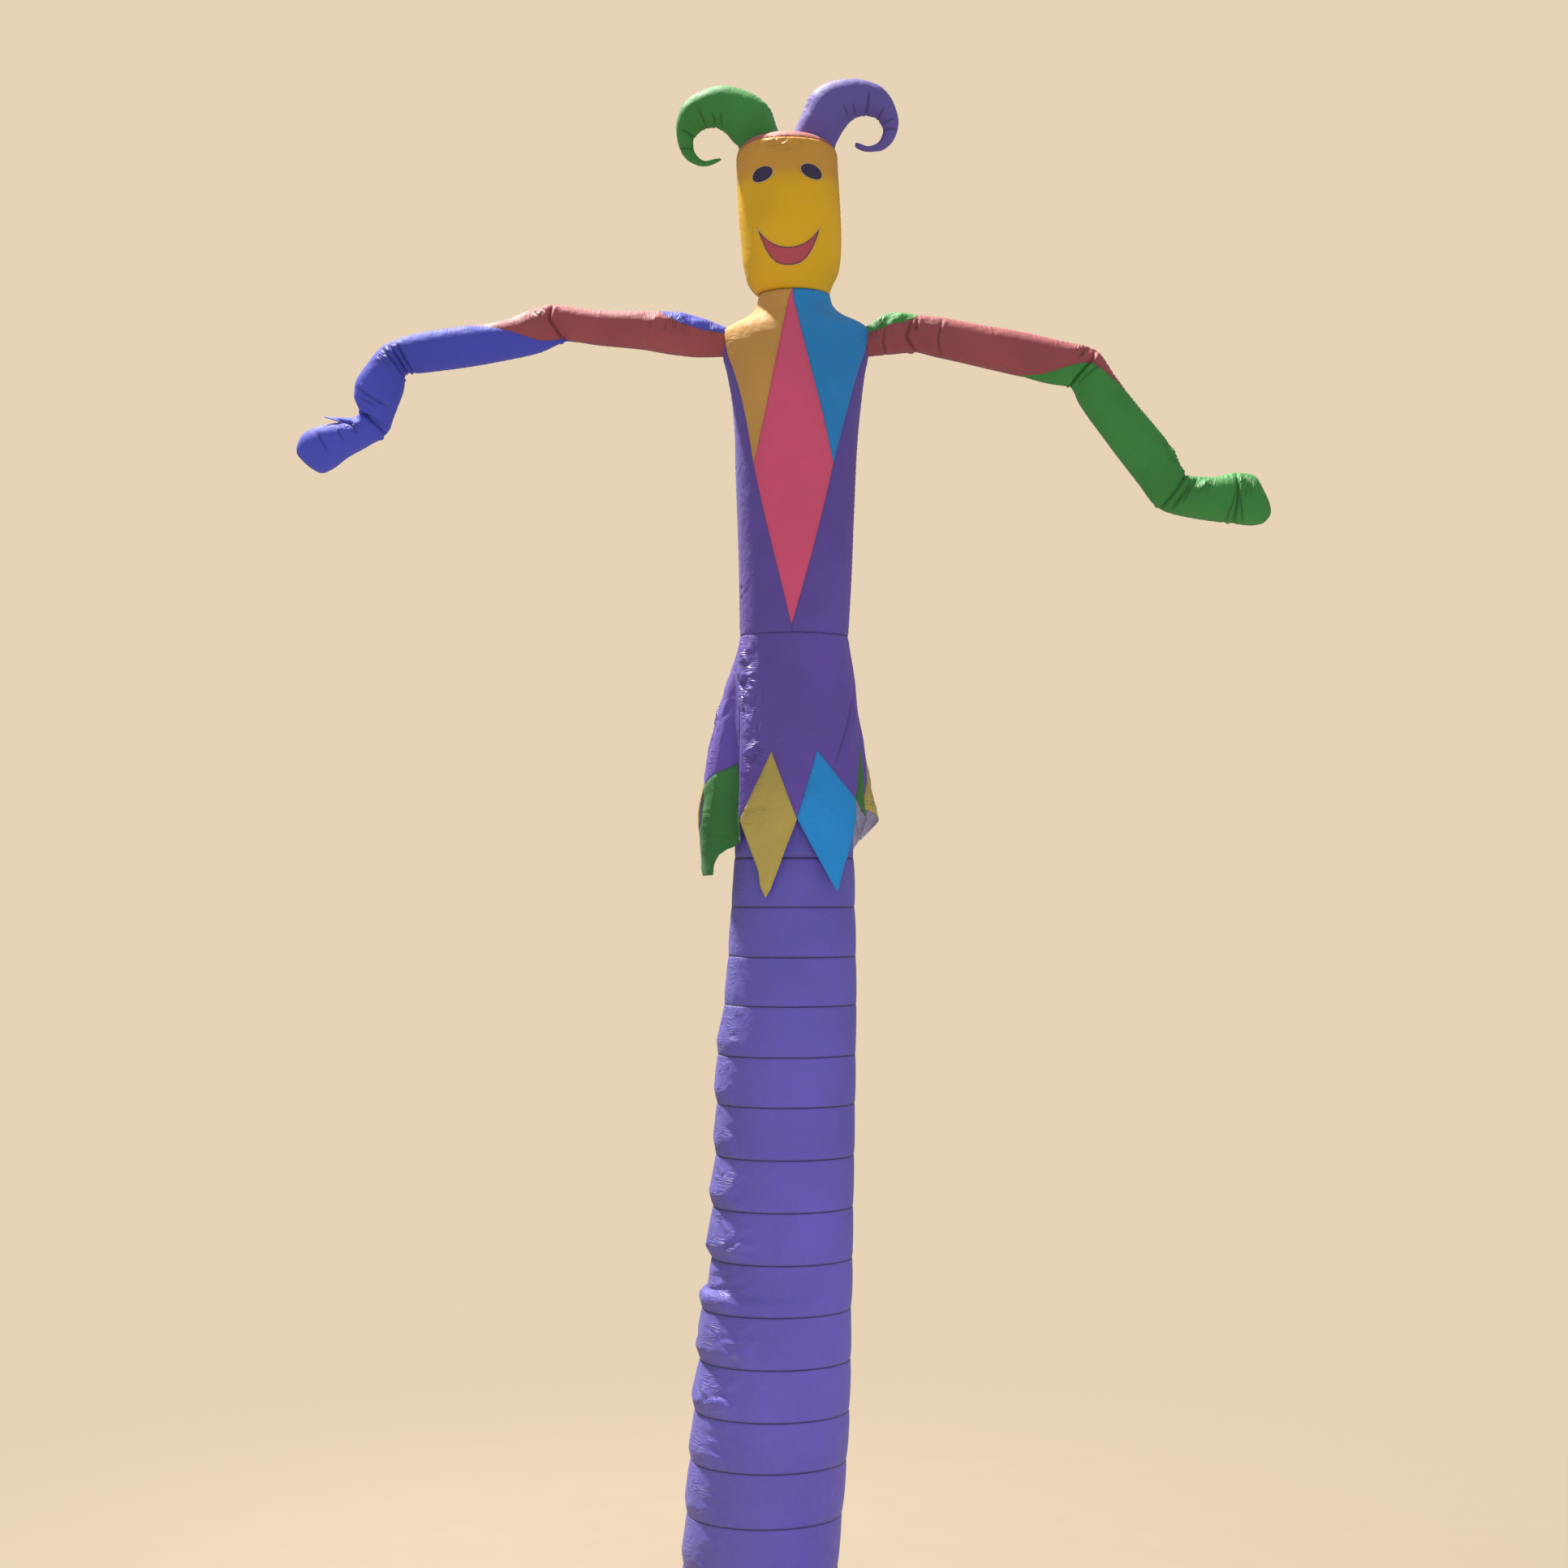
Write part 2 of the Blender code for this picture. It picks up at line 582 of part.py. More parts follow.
def pennants(angles):
    """The diamonds: the upper half of each is sewn into the hem, the lower half hangs."""
    cloths = {"yellow": "lemon", "blue": "blue", "green": "green"}
    for index, pennant in enumerate(PENNANTS):
        right, right_height = pennant_right(index)
        turned = [(a - pennant.left) % 360 + pennant.left for a in angles]
        between = sorted(a for a in turned if pennant.left < a < right)
        columns = [pennant.left + SEAM_ANGLE] + between + [right - SEAM_ANGLE]

        def high_edge(angle):
            return zigzag_height(angle) - SEAM_GAP

        def low_edge(angle, pennant=pennant, right=right, right_height=right_height):
            left_tip, right_tip = pennant.tip - pennant.reach, pennant.tip + pennant.reach
            if angle < left_tip:
                low = line(angle, pennant.left, pennant.corner_height,
                           left_tip, pennant.tip_height)
            elif angle <= right_tip:
                low = pennant.tip_height
            else:
                low = line(angle, right_tip, pennant.tip_height,
                           right, right_height - pennant.drop)
            return min(low, high_edge(angle) - CORNER_HEIGHT)

        panel_on(skirt_surface, "pennant_%02d_%s" % (index + 1, pennant.colour), columns,
                 low_edge, high_edge, even_shares(PENNANT_ROWS), cloths[pennant.colour])


# ---------------------------------------------------------------- torso
def diamond_edges(turn):
    """Upper and lower edge of the long diamond whose middle stands at an angle."""
    def share(angle):
        return min(1.0, abs(angle - turn) / DIAMOND_HALF_ANGLE)

    def upper(angle):
        return NECK + (DIAMOND_WIDEST - NECK) * share(angle)

    def lower(angle):
        return DIAMOND_FOOT + (DIAMOND_WIDEST - DIAMOND_FOOT) * share(angle)
    return upper, lower


def armhole_edge(offset, side):
    """Height of the armhole's edge, above (1) or below (-1), at an angle from its middle."""
    share = min(1.0, abs(offset) / ARMHOLE_HALF_ANGLE)
    return ARMHOLE_HEIGHT + side * ARMHOLE_RISE * math.sqrt(1 - share * share)


def span(start, end, steps):
    """Even angles from start to end."""
    return [start + (end - start) * i / steps for i in range(steps + 1)]


def drawn_in(angles, at_start=SEAM_ANGLE, at_end=SEAM_ANGLE):
    """The same angles, with the first and the last drawn in from an upright seam."""
    way = math.copysign(1, angles[-1] - angles[0])
    return [angles[0] + way * at_start] + angles[1:-1] + [angles[-1] - way * at_end]


def diamond_columns(turn, side):
    """Columns from a long diamond's middle to its corner on one side."""
    return [turn + side * offset for offset in DIAMOND_COLUMNS]


def long_diamond(name, turn):
    """One long diamond of the dress, from the neck almost to the waist."""
    upper, lower = diamond_edges(turn)

    def high_edge(angle):
        return upper(angle) - STEEP_GAP

    def low_edge(angle):
        return lower(angle) + STEEP_GAP
    columns = diamond_columns(turn, -1)[:0:-1] + diamond_columns(turn, 1)
    columns = drawn_in(columns, at_start=DIAMOND_CUT_ANGLE, at_end=DIAMOND_CUT_ANGLE)
    panel_on(torso_surface, name, columns, low_edge, high_edge, DIAMOND_SHARES, "magenta")


def yoke(name, turn, armhole, cloth):
    """A shoulder yoke: from the diamond's upper edge over the shoulder to its ridge."""
    upper, _ = diamond_edges(turn)
    side = 1 if armhole > turn else -1
    corner = turn + side * DIAMOND_HALF_ANGLE
    hole_start = armhole - side * ARMHOLE_HALF_ANGLE

    def high_edge(_angle):
        return NECK - SEAM_GAP / 2

    def low_edge(angle):
        if (angle - corner) * side < 0:
            low = upper(angle)
        elif (angle - hole_start) * side < 0:
            low = line(angle, corner, DIAMOND_WIDEST, hole_start, ARMHOLE_HEIGHT)
        else:
            low = armhole_edge(angle - armhole, 1)
        return low + STEEP_GAP

    columns = (diamond_columns(turn, side)[1:-1] + span(corner, hole_start, RIDGE_STEPS)[:-1]
               + span(hole_start, armhole, HOLE_STEPS))
    panel_on(torso_surface, name, drawn_in(columns, at_start=0),
             low_edge, high_edge, YOKE_SHARES, cloth)


def side_panel(name, armhole):
    """The purple side of the dress, from the front seam round the side to the back one."""
    front, back = TORSO_TURN, TORSO_TURN + math.copysign(180, armhole)
    side = math.copysign(1, armhole)
    edges = {}
    for turn, way in ((front, side), (back, -side)):
        edges[turn] = (turn + way * DIAMOND_HALF_ANGLE, armhole - way * ARMHOLE_HALF_ANGLE)

    def high_edge(angle):
        turn = front if (angle - armhole) * side < 0 else back
        corner, hole_start = edges[turn]
        if abs(angle - turn) <= DIAMOND_HALF_ANGLE:
            high = diamond_edges(turn)[1](angle)
        elif abs(angle - armhole) >= ARMHOLE_HALF_ANGLE:
            high = line(angle, corner, DIAMOND_WIDEST, hole_start, ARMHOLE_HEIGHT)
        else:
            high = armhole_edge(angle - armhole, -1)
        return high - STEEP_GAP

    def low_edge(_angle):
        return WAIST + SEAM_GAP / 2

    (front_corner, front_hole), (back_corner, back_hole) = edges[front], edges[back]
    columns = (diamond_columns(front, side)[:-1]
               + span(front_corner, front_hole, RIDGE_STEPS)[:-1]
               + span(front_hole, back_hole, 2 * HOLE_STEPS)[:-1]
               + span(back_hole, back_corner, RIDGE_STEPS)[:-1]
               + diamond_columns(back, -side)[::-1])
    panel_on(torso_surface, name, drawn_in(columns), low_edge, high_edge,
             SIDE_SHARES, "purple")


def torso():
    """The dress: a long diamond front and back, four yokes and two sides."""
    back_turn = TORSO_TURN + 180
    long_diamond("dress_diamond_front", TORSO_TURN)
    long_diamond("dress_diamond_back", back_turn)
    yoke("yoke_front_left", TORSO_TURN, -90, "gold")
    yoke("yoke_front_right", TORSO_TURN, 90, "blue")
    yoke("yoke_back_right", back_turn, 90, "gold")
    yoke("yoke_back_left", back_turn, 270, "blue")
    side_panel("dress_side_left", -90)
    side_panel("dress_side_right", 90)


# ---------------------------------------------------------------- head
def head_ring(height, depth):
    """A ring of the head or its cap, moved in by depth along the normal."""
    turns = [i * 360 / HEAD_SIDES for i in range(HEAD_SIDES)]
    return [below_surface(head_surface, turn, height, depth) for turn in turns]


def head():
    """The head: a tube from the neck to the edge of the cap."""
    heights = [row.height for row in HEAD_ROWS if row.height <= CROWN_SEAM]
    heights[0] += SEAM_GAP / 2
    heights[-1] -= SEAM_GAP
    outer = [head_ring(height, 0) for height in heights]
    inner = [head_ring(height, CLOTH) for height in heights]
    cloth_tube("head", outer, inner, "yellow")


def horn_base_x(side):
    """x of the middle of a horn's base."""
    return HEAD_ROWS[-1].centre + side * HORN_SPREAD


def cap_height(x, y):
    """Height of the cap's outer face over a point of its plan."""
    out = math.hypot(x - HEAD_ROWS[-1].centre, y)
    cap = [row for row in HEAD_ROWS if row.height >= CROWN_SEAM]
    for low, high in zip(cap, cap[1:]):
        if out >= high.radius:
            return line(out, low.radius, low.height, high.radius, high.height)
    return cap[-1].height


def crown():
    """The cap on the head, with a round hole under each horn."""
    heights = [row.height for row in HEAD_ROWS if row.height >= CROWN_SEAM]
    heights[0] += SEAM_GAP
    outer = [head_ring(height, 0) for height in heights]
    inner = [head_ring(height, CLOTH) for height in heights]
    cap = cloth_tube("crown_cap", outer, inner, "coral", closed_tip=True)
    for side in (-1, 1):
        mesh = bmesh.new()
        bmesh.ops.create_cone(mesh, cap_ends=True, segments=HORN_SIDES,
                              radius1=HORN_HOLE, radius2=HORN_HOLE, depth=CUTTER_DEPTH)
        data = bpy.data.meshes.new("horn_hole")
        mesh.to_mesh(data)
        mesh.free()
        cutter = bpy.data.objects.new("horn_hole", data)
        cutter.location = (horn_base_x(side), 0, HEAD_ROWS[-1].height)
        cutter.rotation_euler.z = math.radians(CUTTER_TURN)
        cutter.hide_render = True
        cutter.display_type = "WIRE"
        bpy.context.scene.collection.objects.link(cutter)
        cut = cap.modifiers.new("horn hole", "BOOLEAN")
        cut.operation = "DIFFERENCE"
        cut.object = cutter


def eye(row):
    """An oval eye, tilted on the face."""
    radius = read_table(HEAD_ROWS, "height", "radius", row.height)
    tilt = math.radians(row.tilt)
    mesh = bmesh.new()
    faces = []
    for depth in (-PATCH_STANDOFF - PATCH_CLOTH, -PATCH_STANDOFF):
        rings = []
        for size in (1.0, EYE_RING):
            ring = []
            for i in range(EYE_SIDES):
                turn = math.radians(i * 360 / EYE_SIDES)
                along = size * EYE_HALF_LENGTH * math.cos(turn)
                up = size * EYE_HALF_HEIGHT * math.sin(turn)
                across = along * math.cos(tilt) - up * math.sin(tilt)
                rise = along * math.sin(tilt) + up * math.cos(tilt)
                angle = row.angle + math.degrees(across / radius)
                ring.append(below_surface(head_surface, angle, row.height + rise, depth))
            rings.append(ring)
        faces.append(skin_grid(mesh, rings, closed=True))
        mesh.faces.new(faces[-1][-1])
    close_strip(mesh, faces[0][0], faces[1][0], closed=True)
    finish(row.name, mesh, "navy")


def mouth():
    """The smile: a crescent between two curved lips."""
    def bend(angle, power):
        return 1 - min(1.0, abs(angle) / MOUTH_HALF_ANGLE) ** power

    def high_edge(angle):
        return MOUTH_TIPS - (MOUTH_TIPS - MOUTH_TOP_LIP) * bend(angle, MOUTH_TOP_BEND)

    def low_edge(angle):
        low = MOUTH_TIPS - (MOUTH_TIPS - MOUTH_LOW_LIP) * bend(angle, MOUTH_LOW_BEND)
        return min(low, high_edge(angle) - MOUTH_CORNER)
    columns = span(-MOUTH_HALF_ANGLE, MOUTH_HALF_ANGLE, MOUTH_COLUMNS)
    panel_on(head_surface, "mouth", columns, low_edge, high_edge, even_shares(MOUTH_ROWS),
             "rose", lift=PATCH_STANDOFF + PATCH_CLOTH, thickness=PATCH_CLOTH)


# ---------------------------------------------------------------- sleeves and horns
def section_ring(section, sides, depth):
    """An oval ring across a sleeve or horn, its wall moved in by depth."""
    upper = Vector((section.upper_x, 0, section.upper_z))
    lower = Vector((section.lower_x, 0, section.lower_z))
    middle, half = (upper + lower) / 2, (upper - lower) / 2
    half *= 1 - depth / half.length
    deep = section.depth - depth
    ring = []
    for i in range(sides):
        turn = math.radians(i * 360 / sides)
        ring.append(middle + half * math.cos(turn) + Vector((0, deep * math.sin(turn), 0)))
    return ring


def torso_side(y, height, side):
    """x of the torso's side face at a depth and height."""
    centre = read_table(TORSO_ROWS, "height", "centre", height)
    width = read_table(TORSO_ROWS, "height", "width", height)
    deep = read_table(TORSO_ROWS, "height", "depth", height)
    return centre + side * width * math.sqrt(1 - (y / deep) ** 2)


def sleeve(name, sections, side, cloth):
    """A sleeve, open at the armhole and closed at the hand."""
    root = {}
    for depth in (0, CLOTH):
        radius = SLEEVE_ROOT - depth
        ring = []
        for i in range(ARM_SIDES):
            turn = math.radians(i * 360 / ARM_SIDES)
            y = radius * math.sin(turn)
            height = ARMHOLE_HEIGHT + radius * math.cos(turn)
            x = torso_side(y, height, side) + side * SLEEVE_STANDOFF
            ring.append(Vector((x, y, height)))
        root[depth] = ring
    outer = [root[0]] + [section_ring(s, ARM_SIDES, 0) for s in sections]
    inner = [root[CLOTH]] + [section_ring(s, ARM_SIDES, CLOTH) for s in sections[:-1]]
    cloth_tube(name, outer, inner, cloth, closed_tip=True)


def horn(name, sections, side, cloth):
    """A curled horn, open at the cap and closed at its tip."""
    root = {}
    for depth in (0, CLOTH):
        radius = HORN_ROOT - depth
        ring = []
        for i in range(HORN_SIDES):
            turn = math.radians(i * 360 / HORN_SIDES)
            x = horn_base_x(side) - side * radius * math.cos(turn)
            y = radius * math.sin(turn)
            ring.append(Vector((x, y, cap_height(x, y) + HORN_STANDOFF)))
        root[depth] = ring
    outer = [root[0]] + [section_ring(s, HORN_SIDES, 0) for s in sections]
    inner = [root[CLOTH]] + [section_ring(s, HORN_SIDES, CLOTH) for s in sections[:-2]]
    cloth_tube(name, outer, inner, cloth, closed_tip=True)


def main():
    """Build the figure from the floor up."""
    clear_scene()
    leg_bands()
    angles = skirt_angles()
    hip_tube(angles)
    skirt(angles)
    pennants(angles)
    torso()
    head()
    crown()
    for row in EYES:
        eye(row)
    mouth()
    sleeve("sleeve_left", LEFT_SLEEVE, -1, "red")
    sleeve("sleeve_right", RIGHT_SLEEVE, 1, "red")
    horn("horn_left", LEFT_HORN, -1, "green")
    horn("horn_right", RIGHT_HORN, 1, "purple")


main()
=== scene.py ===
"""Dress an inflatable air dancer in jester costume with its real cloth.

Every piece is cut flat, as a maker cuts it, and wrapped on the figure: a fine grid is cut to
the piece's outline, laid on the body by the angle round it and the height up it, and raised
or pressed in by seams, puckers, creases and crumples. Metres, +Z up, the front faces -Y.
"""

import logging
import math
from dataclasses import dataclass
from enum import Enum
from typing import Callable, NamedTuple, Protocol, Sequence

import bmesh
import bpy
import numpy as np
from mathutils import Matrix, Vector

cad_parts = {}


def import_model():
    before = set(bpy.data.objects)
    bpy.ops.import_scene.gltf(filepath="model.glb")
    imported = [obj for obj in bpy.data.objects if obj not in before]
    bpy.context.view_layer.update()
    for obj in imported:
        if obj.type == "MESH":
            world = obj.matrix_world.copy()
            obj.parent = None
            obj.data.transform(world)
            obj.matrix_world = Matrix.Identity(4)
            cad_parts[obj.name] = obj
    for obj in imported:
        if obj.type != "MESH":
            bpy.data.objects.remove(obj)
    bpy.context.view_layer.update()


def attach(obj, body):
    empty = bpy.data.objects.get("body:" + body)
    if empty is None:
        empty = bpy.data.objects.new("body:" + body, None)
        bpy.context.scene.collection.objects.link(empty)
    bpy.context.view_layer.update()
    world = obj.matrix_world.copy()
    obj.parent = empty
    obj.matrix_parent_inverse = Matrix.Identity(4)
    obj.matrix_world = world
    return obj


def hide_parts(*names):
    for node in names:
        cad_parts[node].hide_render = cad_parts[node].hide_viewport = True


LOG = logging.getLogger("air dancer")

Array = np.ndarray
Colour = tuple[float, float, float]
Point = tuple[float, float, float]
Pair = tuple[float, float]
Spot = Pair                 # a place: an angle and a rise, or x and z

CLOTH = 0.0012              # one layer of coated nylon, as it shows at an edge
WAIST = 2.890
NECK = 3.919
TORSO_TURN = -3.0           # the dress is turned this far round the body
ARMHOLE_HEIGHT = 3.778
DRESS_SIDES = ("dress_side_cloth_left", "dress_side_cloth_right")
FAR = 9.0                   # metres: more than any distance on the figure
MARKS = ("edge", "along", "fold", "slack")      # what the materials read at each point


class Held(Enum):
    """How a piece of cloth keeps its shape."""

    STRETCHED = "stretched"
    GATHERED = "gathered"
    HUNG = "hung"


# ---- curves and noise
class Smooth:
    """A smooth curve through points, which never overshoots them."""

    def __init__(self, places: Sequence[float], values: Sequence[float]) -> None:
        """Fit the curve.

        Args:
            places: where the points lie, increasing.
            values: what the curve is there.
        """
        self.places = np.asarray(places, float)
        self.values = np.asarray(values, float)
        steps = np.diff(self.places)
        rises = np.diff(self.values) / steps
        self.slopes = np.zeros_like(self.values)
        self.slopes[0], self.slopes[-1] = rises[0], rises[-1]
        before, after = rises[:-1], rises[1:]
        turning = before * after <= 0
        heavy, light = 2 * steps[1:] + steps[:-1], steps[1:] + 2 * steps[:-1]
        safe_before = np.where(turning, 1.0, before)
        safe_after = np.where(turning, 1.0, after)
        inner = (heavy + light) / (heavy / safe_before + light / safe_after)
        self.slopes[1:-1] = np.where(turning, 0.0, inner)

    def __call__(self, at: Array) -> Array:
        """Read the curve.

        Args:
            at: places to read it at.

        Returns:
            The values there.
        """
        at = np.clip(at, self.places[0], self.places[-1])
        piece = np.clip(np.searchsorted(self.places, at) - 1, 0, len(self.places) - 2)
        step = self.places[piece + 1] - self.places[piece]
        t = (at - self.places[piece]) / step
        start, end = self.values[piece], self.values[piece + 1]
        start_slope, end_slope = self.slopes[piece] * step, self.slopes[piece + 1] * step
        bend = 2 * (start - end) + start_slope + end_slope
        lean = 3 * (end - start) - 2 * start_slope - end_slope
        return ((bend * t + lean) * t + start_slope) * t + start


class Noise:
    """Seeded smooth noise on a plane, mostly between -1 and 1."""

    SIZE = 128

    def __init__(self, seed: int) -> None:
        """Draw the noise's slopes from a seed."""
        turns = np.random.default_rng(seed).uniform(0, 2 * math.pi, (self.SIZE, self.SIZE))
        self.slopes = np.stack([np.cos(turns), np.sin(turns)], axis=-1)

    def __call__(self, x: Array, y: Array) -> Array:
        """Read the noise.

        Args:
            x: first coordinates, in units of the noise's cell.
            y: second coordinates.

        Returns:
            The noise there.
        """
        column, row = np.floor(x).astype(int), np.floor(y).astype(int)
        dx, dy = x - column, y - row
        corner = {}
        for across in (0, 1):
            for up in (0, 1):
                slope = self.slopes[(column + across) % self.SIZE, (row + up) % self.SIZE]
                corner[across, up] = slope[..., 0] * (dx - across) + slope[..., 1] * (dy - up)
        ease_x, ease_y = dx * dx * (3 - 2 * dx), dy * dy * (3 - 2 * dy)
        low = corner[0, 0] + (corner[1, 0] - corner[0, 0]) * ease_x
        high = corner[0, 1] + (corner[1, 1] - corner[0, 1]) * ease_x
        return 1.6 * (low + (high - low) * ease_y)


def curves(places: Sequence[float], rows: Sequence[Sequence[float]]) -> list[Smooth]:
    """A curve for each column of some rows of values, over the rows' places."""
    return [Smooth(places, column) for column in zip(*rows)]


def table(kind: type, *rows: tuple) -> tuple:
    """The rows of a table, each made into an object of one kind."""
    return tuple(kind(*row) for row in rows)


# ---- bodies that cloth lies on
class Shape(Protocol):
    """Something that cloth is wrapped on."""

    def at(self, turn: Array, rise: Array) -> Array:
        """Points of the surface.

        Args:
            turn: angles round the body, in degrees.
            rise: places up or along it, in metres.

        Returns:
            The points, one row each.
        """


def normals(shape: Shape, turn: Array, rise: Array) -> Array:
    """Outward normals of a body.

    Args:
        shape: the body.
        turn: angles round it, in degrees.
        rise: places up it, in metres.

    Returns:
        Unit vectors, one row each.
    """
    aside, above = 1.5, 0.005       # degrees and metres between the points compared
    across = shape.at(turn + aside, rise) - shape.at(turn - aside, rise)
    upward = shape.at(turn, rise + above) - shape.at(turn, rise - above)
    cross = np.cross(across, upward)
    return cross / np.maximum(np.linalg.norm(cross, axis=1, keepdims=True), 1e-12)


def oval(axis: Array, turn: Array, width: Array, depth: Array,
         height: Array) -> Array:
    """Points of upright ovals; angle 0 is the front.

    Args:
        axis: x of the oval's middle.
        turn: angles, in degrees.
        width: half size from left to right.
        depth: half size from front to back.
        height: z of the points.

    Returns:
        The points, one row each.
    """
    angle = np.radians(turn)
    return np.stack([axis + width * np.sin(angle), -depth * np.cos(angle),
                     height + 0 * angle], axis=1)


class Ring(NamedTuple):
    """A level section of an upright body."""

    height: float
    centre: float
    width: float
    depth: float


@dataclass
class Upright:
    """A body of level sections, read by the height."""

    rings: Sequence[Ring]

    def __post_init__(self) -> None:
        """Fit the curves up the body."""
        heights = [ring.height for ring in self.rings]
        _, self.centre, self.width, self.depth = curves(heights, self.rings)

    def at(self, turn: Array, rise: Array) -> Array:
        """Points by angle and height; see Shape.at."""
        return oval(self.centre(rise), turn, self.width(rise), self.depth(rise), rise)


@dataclass
class Dressed(Upright):
    """The torso, whose threads run straight up on its long diamonds."""

    corner_width: float = 0.179
    half_angle: float = 41.3
    armhole_start: float = 76.0
    most_spread: float = 1.25

    def at(self, turn: Array, rise: Array) -> Array:
        """Points by the threads' angle and the height; see Shape.at."""
        width = self.width(rise)
        middle = TORSO_TURN + 180 * np.round((turn - TORSO_TURN) / 180)
        off = np.abs(turn - middle)
        near = np.minimum(off, self.half_angle)
        ratio = np.minimum(self.most_spread, self.corner_width / width)
        shift = np.degrees(np.arcsin(np.sin(np.radians(near)) * ratio)) - near
        fade = (self.armhole_start - off) / (self.armhole_start - self.half_angle)
        turned = turn + shift * np.clip(fade, 0, 1) * np.sign(turn - middle)
        return oval(self.centre(rise), turned, width, self.depth(rise), rise)


@dataclass
class Profiled:
    """A round body read by the length along its profile, so that it can close at a point."""

    rings: Sequence[Ring]

    def __post_init__(self) -> None:
        """Fit the curves along the profile."""
        steps = [math.hypot(b.width - a.width, b.height - a.height)
                 for a, b in zip(self.rings, self.rings[1:])]
        self.lengths = np.concatenate([[0.0], np.cumsum(steps)])
        self.height, self.centre, self.radius, _ = curves(self.lengths, self.rings)

    def length_at(self, height: float) -> float:
        """Length of the profile from the lowest ring up to a height."""
        return float(np.interp(height, [ring.height for ring in self.rings], self.lengths))

    def at(self, turn: Array, rise: Array) -> Array:
        """Points by angle and length; see Shape.at."""
        radius = self.radius(rise)
        return oval(self.centre(rise), turn, radius, radius, self.height(rise))


class Fold(NamedTuple):
    """A lip or trough of the skirt: its angle at the widest level and at the waist."""

    angle: float
    waist_angle: float
    radius: float
    bow: float


@dataclass
class Folded:
    """The skirt and the pennants on it."""

    folds: Sequence[Fold]
    axis: float = 0.030
    waist_radius: float = 0.161
    drop: float = 0.540
    twist: float = 2.7
    sway: float = 0.030

    def __post_init__(self) -> None:
        """Fit the curves round the skirt, over three turns so that they close."""
        rows = [(fold.angle + 360 * turns, fold.waist_angle + 360 * turns, fold.radius,
                 fold.bow) for turns in (-1, 0, 1) for fold in self.folds]
        _, self.waist_angle, self.radius, self.bow = curves([row[0] for row in rows], rows)

    def at(self, turn: Array, rise: Array) -> Array:
        """Points by the angle at the widest level and the height; see Shape.at."""
        home = (turn + 180) % 360 - 180
        share = (WAIST - rise) / self.drop
        up = np.clip(1 - share, 0, 1)
        full = self.radius(home)
        radius = self.waist_radius + (full - self.waist_radius) * (1 - up ** self.bow(home))
        radius = radius - self.sway * np.maximum(0, share - 1) * self.drop
        angle = home + (self.waist_angle(home) - home) * up ** self.twist
        return oval(self.axis + 0 * angle, angle, radius, radius, rise)


class Section(NamedTuple):
    """A section of a limb, from one edge of its outline to the other, as x and z."""

    upper_x: float
    upper_z: float
    lower_x: float
    lower_z: float
    depth: float


@dataclass
class Limb:
    """A sleeve or horn: ovals along a bent line. Angle 0 is its upper or outer edge."""

    sections: Sequence[Section]
    side: int

    def __post_init__(self) -> None:
        """Fit the curves along the limb."""
        rows = np.array(self.sections)
        middle = (rows[:, 0:2] + rows[:, 2:4]) / 2
        steps = np.linalg.norm(np.diff(middle, axis=0), axis=1)
        self.lengths = np.concatenate([[0.0], np.cumsum(steps)])
        self.length = float(self.lengths[-1])
        self.columns = curves(self.lengths, self.sections)
        self.girth = float(np.pi * (np.linalg.norm(rows[:, 0:2] - rows[:, 2:4], axis=1) / 2
                                    + rows[:, 4]).mean())

    def length_at(self, x: float) -> float:
        """Length along the limb where its middle first reaches x.

        Args:
            x: the place, from left to right.

        Returns:
            The length from the root.
        """
        along = np.linspace(0, self.length, 400)
        middle = (self.columns[0](along) + self.columns[2](along)) / 2
        return float(along[np.argmax(self.side * (middle - x) >= 0)])

    def spot(self, x: float, z: float) -> Spot:
        """Place on the limb that lies at x and z, seen from the front.

        Args:
            x: the place, from left to right.
            z: its height.

        Returns:
            The angle and the length along the limb.
        """
        along = np.linspace(0, self.length, 800)
        upper_x, upper_z, lower_x, lower_z, _ = (column(along) for column in self.columns)
        over_x, over_z = upper_x - lower_x, upper_z - lower_z
        size = np.maximum(np.hypot(over_x, over_z), 1e-6)
        off_x, off_z = x - lower_x, z - lower_z
        share = (off_x * over_x + off_z * over_z) / size ** 2
        distance = np.abs(off_x * over_z - off_z * over_x) / size
        distance = distance + size * np.maximum(0, np.abs(share - 0.5) - 0.5)
        distance = np.where(size < 0.004, FAR, distance)
        nearest = int(np.argmin(distance))
        cosine = min(1.0, max(-1.0, 2 * float(share[nearest]) - 1))
        return self.side * math.degrees(math.acos(cosine)), float(along[nearest])

    def at(self, turn: Array, rise: Array) -> Array:
        """Points by angle round the limb and length along it; see Shape.at."""
        upper_x, upper_z, lower_x, lower_z, depth = (column(rise) for column in self.columns)
        cosine = np.cos(np.radians(turn))
        sine = -self.side * np.sin(np.radians(turn))
        return np.stack([(upper_x + lower_x) / 2 + (upper_x - lower_x) / 2 * cosine,
                         depth * sine,
                         (upper_z + lower_z) / 2 + (upper_z - lower_z) / 2 * cosine], axis=1)


# ---- cutting the cloth
class Seam(NamedTuple):
    """A straight edge or seam of a flat piece, between two places on its body."""

    name: str
    start: Spot
    end: Spot
    sewn: bool = True


def outline(corners: Sequence[Spot], names: Sequence[str] = (),
            hems: Sequence[str] = ()) -> list[Seam]:
    """The closed outline of a piece.

    Args:
        corners: places on the body, anticlockwise seen from outside.
        names: names of the edges, the first from the first corner to the second.
        hems: names of the edges that hang free.

    Returns:
        The edges in order.
    """
    names = list(names) + ["side"] * (len(corners) - len(names))
    ends = list(corners[1:]) + [corners[0]]
    return [Seam(name, start, end, name not in hems)
            for name, start, end in zip(names, corners, ends)]


